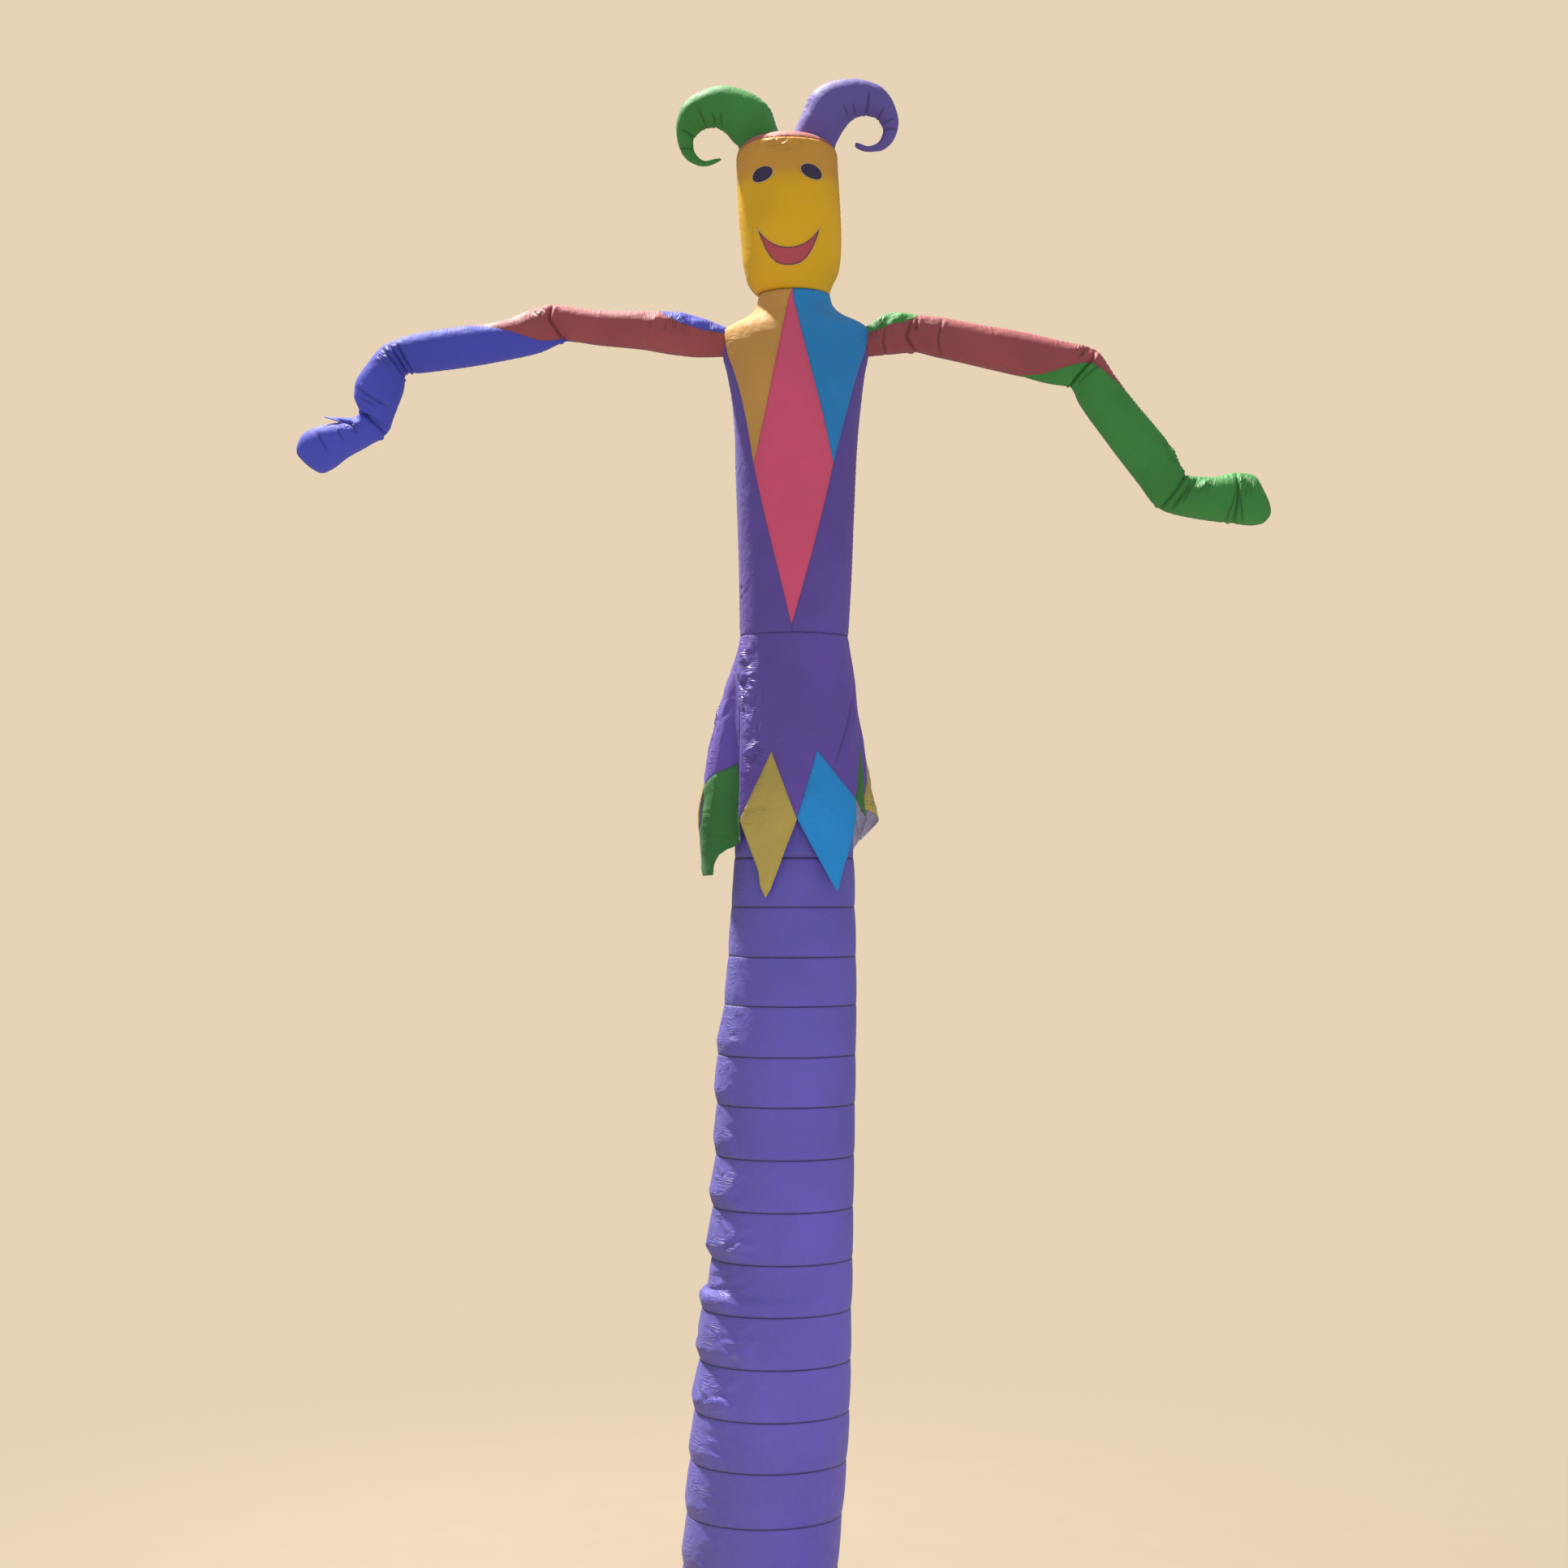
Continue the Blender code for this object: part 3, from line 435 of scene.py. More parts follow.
@dataclass
class Place:
    """Where the points of a flat piece lie: on its body, on the cloth and from its seams."""

    turn: Array
    rise: Array
    flat: Array
    seams: Sequence[Seam]
    scale: float

    def off(self, turn: float) -> Array:
        """Angle of each point from a turn, between -180 and 180."""
        return (self.turn - turn + 180) % 360 - 180

    def to_seams(self, names: Sequence[str] = (),
                 sewn_only: bool = False) -> tuple[Array, Array]:
        """Distance of each point from the nearest of some seams.

        Args:
            names: the seams, or none for all of them.
            sewn_only: leave out the free hems.

        Returns:
            The distances and the places along the nearest seam, in metres.
        """
        nearest = np.full(len(self.turn), FAR)
        along = np.zeros(len(self.turn))
        for seam in self.seams:
            if (names and seam.name not in names) or (sewn_only and not seam.sewn):
                continue
            start = np.array([seam.start[0] * self.scale, seam.start[1]])
            way = np.array([seam.end[0] * self.scale, seam.end[1]]) - start
            length = np.linalg.norm(way)
            share = np.clip((self.flat - start) @ way / length ** 2, 0, 1)
            distance = np.linalg.norm(self.flat - start - share[:, None] * way, axis=1)
            closer = distance < nearest
            nearest = np.where(closer, distance, nearest)
            level = abs(way[0]) > abs(way[1])
            run = self.flat[:, 0] if level else self.flat[:, 1]
            along = np.where(closer, run, along)
        return nearest, along


@dataclass
class Cut:
    """A piece of cloth, cut flat."""

    edges: list[Seam]
    scale: float
    step: Pair = (0.008, 0.008)
    inner: Sequence[Seam] = ()

    @classmethod
    def tube(cls, low: float, high: float, scale: float, step: Pair,
             ends: tuple[str, str] = ("bottom", "top"), hems: Sequence[str] = (),
             inner: Sequence[Seam] = ()) -> "Cut":
        """A tube, cut open along one side.

        Args:
            low: rise of its lower end, or of its root.
            high: rise of its other end.
            scale: metres of cloth to a degree.
            step: size of the grid's faces.
            ends: names of its two ends.
            hems: names of the edges that hang free.
            inner: its inner seams.

        Returns:
            The cut.
        """
        corners = [(-180, low), (180, low), (180, high), (-180, high)]
        return cls(outline(corners, (ends[0], "right", ends[1], "left"), hems), scale, step,
                   inner)

    def seams(self) -> list[Seam]:
        """Its edges and its inner seams."""
        return [*self.edges, *self.inner]

    def area(self) -> float:
        """Area of the flat cut, in square metres."""
        return abs(sum((edge.start[0] * edge.end[1] - edge.end[0] * edge.start[1])
                       * self.scale for edge in self.edges)) / 2

    def corners(self) -> Array:
        """The outline's corners on the cloth, in metres."""
        return np.array([(edge.start[0] * self.scale, edge.start[1]) for edge in self.edges])

    def size(self) -> Pair:
        """Width and length of the rectangle that the cut needs, in metres."""
        width, length = np.ptp(self.corners(), axis=0)
        return float(width), float(length)

    def inside(self, x: float, y: float) -> bool:
        """Whether a point lies in the outline.

        Args:
            x: its place across the cloth, in metres.
            y: its place up the cloth.

        Returns:
            True if it does.
        """
        crossings = False
        corners = self.corners()
        for (ax, ay), (bx, by) in zip(corners, np.roll(corners, -1, axis=0)):
            if (ay > y) != (by > y) and x < ax + (bx - ax) * (y - ay) / (by - ay):
                crossings = not crossings
        return crossings

    def split(self, mesh: bmesh.types.BMesh, seam: Seam) -> None:
        """Cut the faces that a slanted seam runs through.

        Args:
            mesh: the flat grid.
            seam: the seam.
        """
        start = Vector((seam.start[0] * self.scale, seam.start[1], 0))
        end = Vector((seam.end[0] * self.scale, seam.end[1], 0))
        way = end - start
        if abs(way.x) < 1e-6 or abs(way.y) < 1e-6:
            return
        low = [min(start[i], end[i]) - max(self.step) for i in (0, 1)]
        high = [max(start[i], end[i]) + max(self.step) for i in (0, 1)]
        faces = []
        for face in mesh.faces:
            middle = face.calc_center_median()
            if low[0] < middle.x < high[0] and low[1] < middle.y < high[1]:
                faces.append(face)
        parts = faces + list({e for f in faces for e in f.edges})
        parts += list({v for f in faces for v in f.verts})
        bmesh.ops.bisect_plane(mesh, geom=parts, dist=1e-5, plane_co=start,
                               plane_no=way.cross(Vector((0, 0, 1))))

    def flat_mesh(self) -> bmesh.types.BMesh:
        """Cut the flat piece from a grid.

        Returns:
            Its faces, parted along its outline and its inner seams.
        """
        low, high = self.corners().min(axis=0), self.corners().max(axis=0)
        span = high - low
        count = [max(2, round(span[i] / self.step[i])) for i in (0, 1)]
        mesh = bmesh.new()
        bmesh.ops.create_grid(mesh, x_segments=count[0], y_segments=count[1], size=0.5)
        middle = Matrix.Translation(((low[0] + high[0]) / 2, (low[1] + high[1]) / 2, 0))
        bmesh.ops.transform(mesh, verts=mesh.verts,
                            matrix=middle @ Matrix.Diagonal((span[0], span[1], 1, 1)))
        for seam in self.seams():
            self.split(mesh, seam)
        outside = [face for face in mesh.faces
                   if not self.inside(*face.calc_center_median().xy)]
        bmesh.ops.delete(mesh, geom=outside, context="FACES")
        return mesh


# ---- relief of the cloth
class Relief(Protocol):
    """Something that raises cloth or presses it in."""

    def height(self, place: Place) -> Array:
        """How far each point is raised.

        Args:
            place: where the points lie.

        Returns:
            The heights along the normal, in metres.
        """


def meeting(distance: Array, reach: float) -> Array:
    """Fade from 0 at a seam, where cloth meets its neighbour, to 1 where it is free."""
    return 1 - np.exp(-(distance / reach) ** 2)


@dataclass(frozen=True)
class Puff:
    """Cloth that air presses out between seams, and that the thread draws in at them."""

    rise: float = 0.004
    reach: float = 0.020
    tuck: float = 0.0012
    tuck_reach: float = 0.003
    names: tuple[str, ...] = ()

    def height(self, place: Place) -> Array:
        """See Relief.height."""
        distance, _ = place.to_seams(self.names, sewn_only=True)
        return (self.rise * (1 - np.exp(-distance / self.reach))
                - self.tuck * np.exp(-distance / self.tuck_reach))


@dataclass(frozen=True)
class Puckers:
    """Short creases that run away from a seam."""

    depth: float = 0.002
    pitch: float = 0.014
    reach: float = 0.020
    names: tuple[str, ...] = ()
    seed: int = 1
    patchiness: float = 0.7
    middle: float = 0.0
    half: float = 0.0
    fade: Pair = (90.0, 99.0)

    def height(self, place: Place) -> Array:
        """See Relief.height."""
        distance, along = place.to_seams(self.names, sewn_only=True)
        noise = Noise(self.seed)
        level = 0 * along
        warp = 0.9 * noise(along / (4 * self.pitch), level + 5)
        lean = noise(along / (7 * self.pitch), level + 9) * distance / self.reach
        phase = along / self.pitch + warp + 0.8 * lean
        number = np.round(phase)
        wave = np.abs(np.sin(math.pi * (phase - 0.5)))
        valley, ridge = -(1 - wave) ** 1.5, 0.30 * wave
        patch = 1 - self.patchiness * (0.5 + 0.5 * noise(along / (9 * self.pitch) + 7, level))
        length = self.reach * (0.45 + 1.1 * np.abs(noise(number * 0.73 + 0.31, level + 3)))
        fade = np.exp(-(distance / length) ** 2) * meeting(distance, 0.0025)
        if self.half:
            fade = fade * np.exp(-(place.off(self.middle) / self.half) ** 4)
        start, end = self.fade
        fade = fade * np.clip((end - place.rise) / (end - start), 0.12, 1)
        return self.depth * np.clip(patch, 0, 1) * fade * (valley + ridge)


@dataclass(frozen=True)
class Crumple:
    """A patch of slack cloth, pressed into facets with sharp edges."""

    depth: float
    size: float
    centre: Spot
    spread: Pair
    seed: int = 5
    lean: float = 0.0
    shine: float = 1.0
    stretch: float = 1.8

    def patch(self, place: Place) -> Array:
        """How slack the cloth is at each point, from 0 to 1."""
        return np.exp(-(np.abs(place.off(self.centre[0])) / self.spread[0]) ** 3
                      - (np.abs(place.rise - self.centre[1]) / self.spread[1]) ** 3)

    def height(self, place: Place) -> Array:
        """See Relief.height."""
        noise, draw = Noise(self.seed), np.random.default_rng(self.seed)
        x, y = place.flat[:, 0], place.flat[:, 1]
        bend = 0.45 * noise(x / (1.6 * self.size) + 11, y / (1.6 * self.size))
        facets = 0.0
        for weight, size, swing in ((1.0, 1.0, 14), (0.75, 0.8, -28), (0.40, 0.52, 52),
                                    (0.16, 0.30, -60)):
            angle = math.radians(self.lean + swing + draw.uniform(-12, 12))
            across = y * math.cos(angle) - x * math.sin(angle)
            phase = across / (size * self.size / self.stretch * 2) + bend + draw.uniform(0, 1)
            facets = facets + weight * (0.5 - 2 * np.abs(phase - np.floor(phase) - 0.5))
        distance, _ = place.to_seams()
        return self.depth * self.patch(place) * facets * meeting(distance, 0.010)


@dataclass(frozen=True)
class Wrinkles:
    """Loose sharp folds, scattered over a patch of slack cloth."""

    count: int
    depth: float
    width: float
    length: float
    centre: Spot
    spread: Pair
    lean: float = 0.0
    fan: float = 35.0
    seed: int = 6

    def height(self, place: Place) -> Array:
        """See Relief.height."""
        draw = np.random.default_rng(self.seed)
        total = np.zeros(len(place.turn))
        for _ in range(self.count):
            turn = self.centre[0] + self.spread[0] * draw.normal() * 0.6
            rise = self.centre[1] + self.spread[1] * draw.normal() * 0.6
            angle = math.radians(self.lean + self.fan * draw.normal())
            half = self.length * draw.uniform(0.5, 1.3) / 2
            depth = self.depth * draw.uniform(0.4, 1.2) * draw.choice((1.0, 1.0, -0.7))
            width = self.width * draw.uniform(0.7, 1.5)
            bow = draw.uniform(-0.25, 0.25)
            x = place.off(turn) * place.scale
            y = place.rise - rise
            along = (x * math.cos(angle) + y * math.sin(angle)) / half
            off = y * math.cos(angle) - x * math.sin(angle) + bow * half * along ** 2
            fade = np.clip(1 - along ** 2, 0, 1)
            press = np.exp(-np.abs(off) / width)
            lip = 0.55 * np.exp(-((off - 1.7 * width) / (1.3 * width)) ** 2)
            total += depth * fade * (lip - press)
        distance, _ = place.to_seams(sewn_only=True)
        return total * meeting(distance, 0.007)


@dataclass(frozen=True)
class Crease:
    """One long fold along a line of places, pressed in or standing out."""

    path: tuple[Spot, ...]
    depth: float
    width: float
    lip: float = 0.5
    shade: float = 1.0
    dark_width: float = 0.0024

    def reach(self, place: Place) -> tuple[Array, Array, Array]:
        """How points lie to the line.

        Args:
            place: where the points lie.

        Returns:
            Distance from it, distance to its left, and a fade towards its ends.
        """
        points = [np.array([turn * place.scale, rise]) for turn, rise in self.path]
        lengths = [float(np.linalg.norm(b - a)) for a, b in zip(points, points[1:])]
        nearest = np.full(len(place.turn), FAR)
        side, share, done = 0 * nearest, 0 * nearest, 0.0
        for start, end, length in zip(points, points[1:], lengths):
            way = (end - start) / length
            run = (place.flat - start) @ way
            off = (place.flat - start) @ np.array([-way[1], way[0]])
            near = np.hypot(off, np.maximum(0, np.maximum(-run, run - length)))
            closer = near < nearest
            nearest = np.where(closer, near, nearest)
            side = np.where(closer, off, side)
            share = np.where(closer, (done + np.clip(run, 0, length)) / sum(lengths), share)
            done += length
        return nearest, side, 0.35 + 0.65 * np.clip(1 - np.abs(2 * share - 1) ** 4, 0, 1)

    def line(self, place: Place) -> Array:
        """How deep in the fold each point lies, from 0 to 1."""
        nearest, _, fade = self.reach(place)
        return self.shade * fade * np.exp(-(nearest / self.dark_width) ** 1.5)

    def height(self, place: Place) -> Array:
        """See Relief.height."""
        nearest, side, fade = self.reach(place)
        press = np.exp(-(nearest / self.width) ** 1.2)
        raised = self.lip * np.exp(-((side - 1.9 * self.width) / self.width) ** 2)
        raised = raised * (nearest < np.abs(side) + 1e-6)
        return self.depth * fade * (raised - press)


@dataclass(frozen=True)
class Sag:
    """Slack cloth that hangs from a seam, leans out and folds under above the next seam."""

    depth: float
    low: float
    high: float
    middle: float
    half: float
    seed: int = 8

    def height(self, place: Place) -> Array:
        """See Relief.height."""
        noise = Noise(self.seed)
        share = np.clip((self.high - place.rise) / (self.high - self.low), 0, 1)
        knee = 0.72 + 0.10 * noise(place.flat[:, 0] / 0.06, 0 * share)
        lean = np.where(share < knee, share / knee, (1 - share) / (1 - knee))
        ragged = 10.0 * noise(place.rise / 0.030 + 5, place.turn / 40)
        off = np.abs(place.off(self.middle))
        edge = 1 / (1 + np.exp((off - self.half + ragged) / 1.8))
        return self.depth * lean * edge


@dataclass(frozen=True)
class Tug:
    """A point of the cloth, pulled out into a small peak."""

    spot: Spot
    pull: Point
    reach: float

    def move(self, place: Place) -> Array:
        """How far each point is moved.

        Args:
            place: where the points lie.

        Returns:
            The moves, in metres.
        """
        x = place.off(self.spot[0]) * place.scale
        distance = np.hypot(x, place.rise - self.spot[1])
        share = np.clip(1 - distance / self.reach, 0, 1) ** 1.4
        return share[:, None] * np.array(self.pull)


@dataclass(frozen=True)
class Sway:
    """Broad soft unevenness of the cloth."""

    depth: float
    size: float
    seed: int = 9

    def height(self, place: Place) -> Array:
        """See Relief.height."""
        distance, _ = place.to_seams(sewn_only=True)
        noise = Noise(self.seed)
        wave = noise(place.flat[:, 0] / self.size, place.flat[:, 1] / self.size)
        return self.depth * wave * (1 - np.exp(-distance / 0.03))


@dataclass(frozen=True)
class Carried:
    """The relief of the cloth below, taken over by a patch that is sewn on it."""

    reliefs: Sequence[Relief]
    cut: Cut

    def height(self, place: Place) -> Array:
        """See Relief.height."""
        below = Place(place.turn, place.rise, place.flat, self.cut.seams(), place.scale)
        return sum(relief.height(below) for relief in self.reliefs)


# ---- materials
def opaque(colour: Colour, share: float = 1.0, more: float = 0.0) -> tuple[float, ...]:
    """A dimmed or raised colour, with alpha 1, as a socket takes it."""
    return (*[min(1.0, part * share + more) for part in colour], 1.0)


class Wiring:
    """Short ways to add and link the nodes of one tree."""

    def __init__(self, tree: bpy.types.NodeTree) -> None:
        """Keep the node tree of a material or a group."""
        self.tree = tree

    @classmethod
    def group(cls, name: str, inputs: dict[str, float | None],
              outputs: Sequence[str]) -> tuple["Wiring", object, bpy.types.Node]:
        """Start a node group.

        Args:
            name: its name.
            inputs: its inputs, each with its default, or with None for a vector.
            outputs: names of its outputs.

        Returns:
            Its wiring, the sockets that its inputs give, and the node that takes its outputs.
        """
        tree = bpy.data.node_groups.new(name, "ShaderNodeTree")
        for key, value in inputs.items():
            kind = "NodeSocketVector" if value is None else "NodeSocketFloat"
            made = tree.interface.new_socket(name=key, in_out="INPUT", socket_type=kind)
            if value is not None:
                made.default_value = value
        for key in outputs:
            tree.interface.new_socket(name=key, in_out="OUTPUT", socket_type="NodeSocketFloat")
        given = tree.nodes.new("NodeGroupInput")
        return cls(tree), given.outputs, tree.nodes.new("NodeGroupOutput")

    def add(self, kind: str, inputs: dict[str | int, object] | None = None,
            **settings: object) -> bpy.types.Node:
        """Add a shader node.

        Args:
            kind: the node's type, such as Math.
            inputs: what its inputs are fed, by name or index.
            **settings: attributes to set on it.

        Returns:
            The node.
        """
        node = self.tree.nodes.new("ShaderNode" + kind)
        for key, value in settings.items():
            setattr(node, key, value)
        self.feed(node, inputs or {})
        return node

    def feed(self, node: bpy.types.Node, inputs: dict[str | int, object]) -> None:
        """Give inputs their values, or link them.

        Args:
            node: the node.
            inputs: a number, a tuple or an output socket for each input's name or index.
        """
        for key, source in inputs.items():
            if isinstance(source, bpy.types.NodeSocket):
                self.tree.links.new(source, node.inputs[key])
            else:
                node.inputs[key].default_value = source

    def math(self, operation: str, *sources: object, clamp: bool = False) -> bpy.types.NodeSocket:
        """Output of a Math node for an operation on some inputs."""
        node = self.add("Math", dict(enumerate(sources)), operation=operation, use_clamp=clamp)
        return node.outputs[0]

    def off_middle(self, source: object, middle: object = 0.5) -> bpy.types.NodeSocket:
        """How far a value lies from another, or from the middle between 0 and 1."""
        return self.math("ABSOLUTE", self.math("SUBTRACT", source, middle))

    def ramp(self, source: object, low: float, high: float,
             bottom: float = 0.0, top: float = 1.0) -> bpy.types.NodeSocket:
        """A value from low to high, mapped smoothly to bottom and top."""
        node = self.add("MapRange", {"Value": source, "From Min": low, "From Max": high,
                                     "To Min": bottom, "To Max": top},
                        interpolation_type="SMOOTHSTEP")
        return node.outputs["Result"]

    def mix(self, share: object, first: object, second: object) -> bpy.types.NodeSocket:
        """Two colours mixed, by the share of the second."""
        return self.add("Mix", {0: share, 6: first, 7: second}, data_type="RGBA").outputs[2]

    def noise(self, vector: object, scale: float, detail: float = 2.0,
              distortion: float = 0.0) -> bpy.types.Node:
        """A noise texture, read at a vector."""
        return self.add("TexNoise", {"Vector": vector, "Scale": scale, "Detail": detail,
                                     "Distortion": distortion})


def weave_group() -> bpy.types.NodeTree:
    """Make the group of a plain weave with a thicker ripstop thread every few millimetres.

    Returns:
        The group, which gives the weave's height.
    """
    wires, given, out = Wiring.group("ripstop weave", {"Cloth": None, "Ripstop": 0.006},
                                     ["Height"])
    split = wires.add("SeparateXYZ", {0: given["Cloth"]})
    threads = []
    for axis in ("X", "Y"):
        phase = wires.math("FRACT", wires.math("DIVIDE", split.outputs[axis],
                                               given["Ripstop"]))
        threads.append(wires.ramp(wires.off_middle(phase), 0.40, 0.48))
    fine = wires.add("TexWave", {"Vector": given["Cloth"], "Scale": 900.0},
                     bands_direction="DIAGONAL")
    grid = wires.math("MAXIMUM", *threads)
    wires.feed(out, {"Height": wires.math("MULTIPLY_ADD", fine.outputs["Fac"], 0.25, grid)})
    return wires.tree


def crinkle_group() -> bpy.types.NodeTree:
    """Make the group of thin coated cloth that has been crushed, in flats with sharp edges.

    Returns:
        The group, which gives the cloth's height.
    """
    wires, given, out = Wiring.group("crushed cloth", {"Object": None}, ["Height"])
    warp = wires.noise(given["Object"], 9.0)
    bent = wires.add("VectorMath", {0: warp.outputs["Color"], 1: (0.10, 0.10, 0.10),
                                    2: given["Object"]}, operation="MULTIPLY_ADD")
    heights = []
    for scale, weight in ((13.0, 1.0), (29.0, 0.45)):
        cells = wires.add("TexVoronoi", {"Vector": bent.outputs["Vector"], "Scale": scale},
                          feature="DISTANCE_TO_EDGE")
        heights.append(wires.math("MULTIPLY", cells.outputs["Distance"], weight, clamp=True))
    wires.feed(out, {"Height": wires.math("ADD", *heights)})
    return wires.tree


def glint_group() -> bpy.types.NodeTree:
    """Make the group of fine sharp folds that run across slack cloth.

    Returns:
        The group, which gives the folds' height.
    """
    wires, given, out = Wiring.group("fine folds", {"Cloth": None}, ["Height"])
    total = None
    for lean, across, weight in ((0.8, 55.0, 1.0), (-0.6, 75.0, 0.8), (1.5, 65.0, 0.7)):
        turned = wires.add("Mapping", {"Vector": given["Cloth"], "Rotation": (0.0, 0.0, lean),
                                       "Scale": (across / 6, across, 1.0)})
        noise = wires.noise(turned.outputs["Vector"], 1.0, 0.0, 0.6)
        fold = wires.ramp(wires.off_middle(noise.outputs["Fac"]), 0.0, 0.08, 1.0, 0.0)
        fold = wires.math("MULTIPLY", fold, weight)
        total = fold if total is None else wires.math("MAXIMUM", total, fold)
    where = wires.ramp(wires.noise(given["Cloth"], 16.0, 0.0).outputs["Fac"], 0.44, 0.56)
    wires.feed(out, {"Height": wires.math("MULTIPLY", total, where)})
    return wires.tree


def seam_group() -> bpy.types.NodeTree:
    """Make the group of a sewn edge.

    Returns:
        The group, which gives masks of the crease and of the stitches beside it.
    """
    wires, given, out = Wiring.group(
        "sewn edge", {"Edge": 0.0, "Along": 0.0, "Stitch Offset": 0.006,
                      "Stitch Length": 0.004}, ["Crease", "Stitches"])
    off = wires.off_middle(given["Edge"], given["Stitch Offset"])
    line = wires.ramp(off, 0.0004, 0.0009, 1.0, 0.0)
    phase = wires.math("FRACT", wires.math("DIVIDE", given["Along"], given["Stitch Length"]))
    gap = wires.ramp(wires.off_middle(phase), 0.30, 0.38, 1.0, 0.0)
    wires.feed(out, {"Crease": wires.ramp(given["Edge"], 0.0008, 0.0034, 1.0, 0.0),
                     "Stitches": wires.math("MULTIPLY", line, gap)})
    return wires.tree


def weather_group() -> bpy.types.NodeTree:
    """Make the group of a dye's broad and fine unevenness.

    Returns:
        The group, whose values lie about 0.5.
    """
    wires, given, out = Wiring.group("weathered dye", {"Object": None}, ["Broad", "Fine"])
    for name, scale, detail in (("Broad", 3.0, 3.0), ("Fine", 38.0, 5.0)):
        wires.feed(out, {name: wires.noise(given["Object"], scale, detail).outputs["Fac"]})
    return wires.tree


@dataclass(frozen=True)
class Nylon:
    """Coated nylon of one colour."""

    name: str
    slot: str
    colour: Colour
    roughness: float = 0.70
    specular: float = 0.85
    ior: float = 1.55
    sheen: float = 0.08
    crush: float = 0.45
    seam_shade: float = 0.15
    fold_shade: float = 0.75
    # painted light: an orange top, standing in for light coloured by the coral cap that shows
    # through the thin yellow cloth
    painted_cap_light: Colour | None = None
    cap_light_heights: Pair = (4.250, 4.300)
    border: tuple[tuple[float, Colour], ...] = ()
    dull: float = 0.91              # share of the dye where it is weathered
    fresh: float = 1.07
    in_fold: float = 0.22
    thread: float = 0.55

    def build(self, groups: Sequence[bpy.types.NodeTree]) -> bpy.types.Material:
        """Make the material.

        Args:
            groups: the shared groups: weather, seam, weave, glints and crinkles.

        Returns:
            The material.
        """
        material = bpy.data.materials.new(self.name)
        material.use_nodes = True
        wires = Wiring(material.node_tree)
        given = wires.add("TexCoord").outputs
        edge, along, fold, slack = (wires.add("Attribute", attribute_name=name).outputs["Fac"]
                                    for name in MARKS)
        spot, cloth = {"Object": given["Object"]}, {"Cloth": given["UV"]}
        weather, seam, weave, glint, crinkle = (
            wires.add("Group", inputs, node_tree=group).outputs for group, inputs in
            zip(groups, (spot, {"Edge": edge, "Along": along}, cloth, cloth, spot)))

        colour = wires.mix(wires.ramp(weather["Broad"], 0.35, 0.65),
                           opaque(self.colour, self.dull), opaque(self.colour, self.fresh, 0.001))
        # painted light: orange over the top of the head, rising with the height, for light
        # through the coral cap
        if self.painted_cap_light:
            split = wires.add("SeparateXYZ", {0: given["Object"]})
            height = wires.math("MULTIPLY_ADD", weather["Broad"], 0.05, split.outputs["Z"])
            cap_light_share = wires.math("MULTIPLY", wires.ramp(height, *self.cap_light_heights), 0.85)
            colour = wires.mix(cap_light_share, colour, opaque(self.painted_cap_light))
        for reach, shade in self.border:
            ring = wires.ramp(edge, reach - 0.0006, reach, 1.0, 0.0)
            colour = wires.mix(ring, colour, opaque(shade))
        if not self.border:
            colour = wires.mix(wires.math("MULTIPLY", seam["Crease"], 0.9), colour,
                               opaque(self.colour, 1 - self.seam_shade))
        colour = wires.mix(wires.math("MULTIPLY", fold, self.fold_shade), colour,
                           opaque(self.colour, self.in_fold))
        colour = wires.mix(wires.math("MULTIPLY", seam["Stitches"], 0.6), colour,
                           opaque(self.colour, self.thread, 0.02))
        rough = wires.ramp(weather["Fine"], 0.3, 0.7,
                           self.roughness - 0.05, self.roughness + 0.07)
        ridges = wires.math("MULTIPLY", glint["Height"], slack)

        bump = None
        for height, strength, distance in (
                (weave["Height"], 0.35, 0.00015), (crinkle["Height"], self.crush, 0.006),
                (ridges, 0.9, 0.0045), (seam["Stitches"], 0.6, 0.0004)):
            below = {"Normal": bump} if bump else {}
            bump = wires.add("Bump", {"Height": height, "Strength": strength,
                                      "Distance": distance, **below}).outputs["Normal"]
        wires.feed(material.node_tree.nodes["Principled BSDF"], {
            "Base Color": colour, "Roughness": wires.math("MULTIPLY_ADD", ridges, -0.44, rough),
            "Specular IOR Level": self.specular, "IOR": self.ior, "Sheen Weight": self.sheen,
            "Sheen Roughness": 0.45, "Normal": bump})
        return material


# ---- sewing
class Piece(NamedTuple):
    """What a piece of cloth is called, made of and carried by.

    Attributes:
        name: its name.
        finishes: keys of its materials, the main one first.
        rests_on: what carries it.
        held: how it keeps its shape.
        wider: how much wider its cloth is than the pattern, for what the body and its
            puckers take up.
        flare: share of that cloth that is left after its edges are cut on a curve.
        node: the solid that it stands for, if the name without "cloth" doesn't say it.
    """

    name: str
    finishes: Sequence[str]
    rests_on: Sequence[str]
    held: Held = Held.STRETCHED
    wider: float = 1.0
    flare: float = 1.0
    node: str = ""


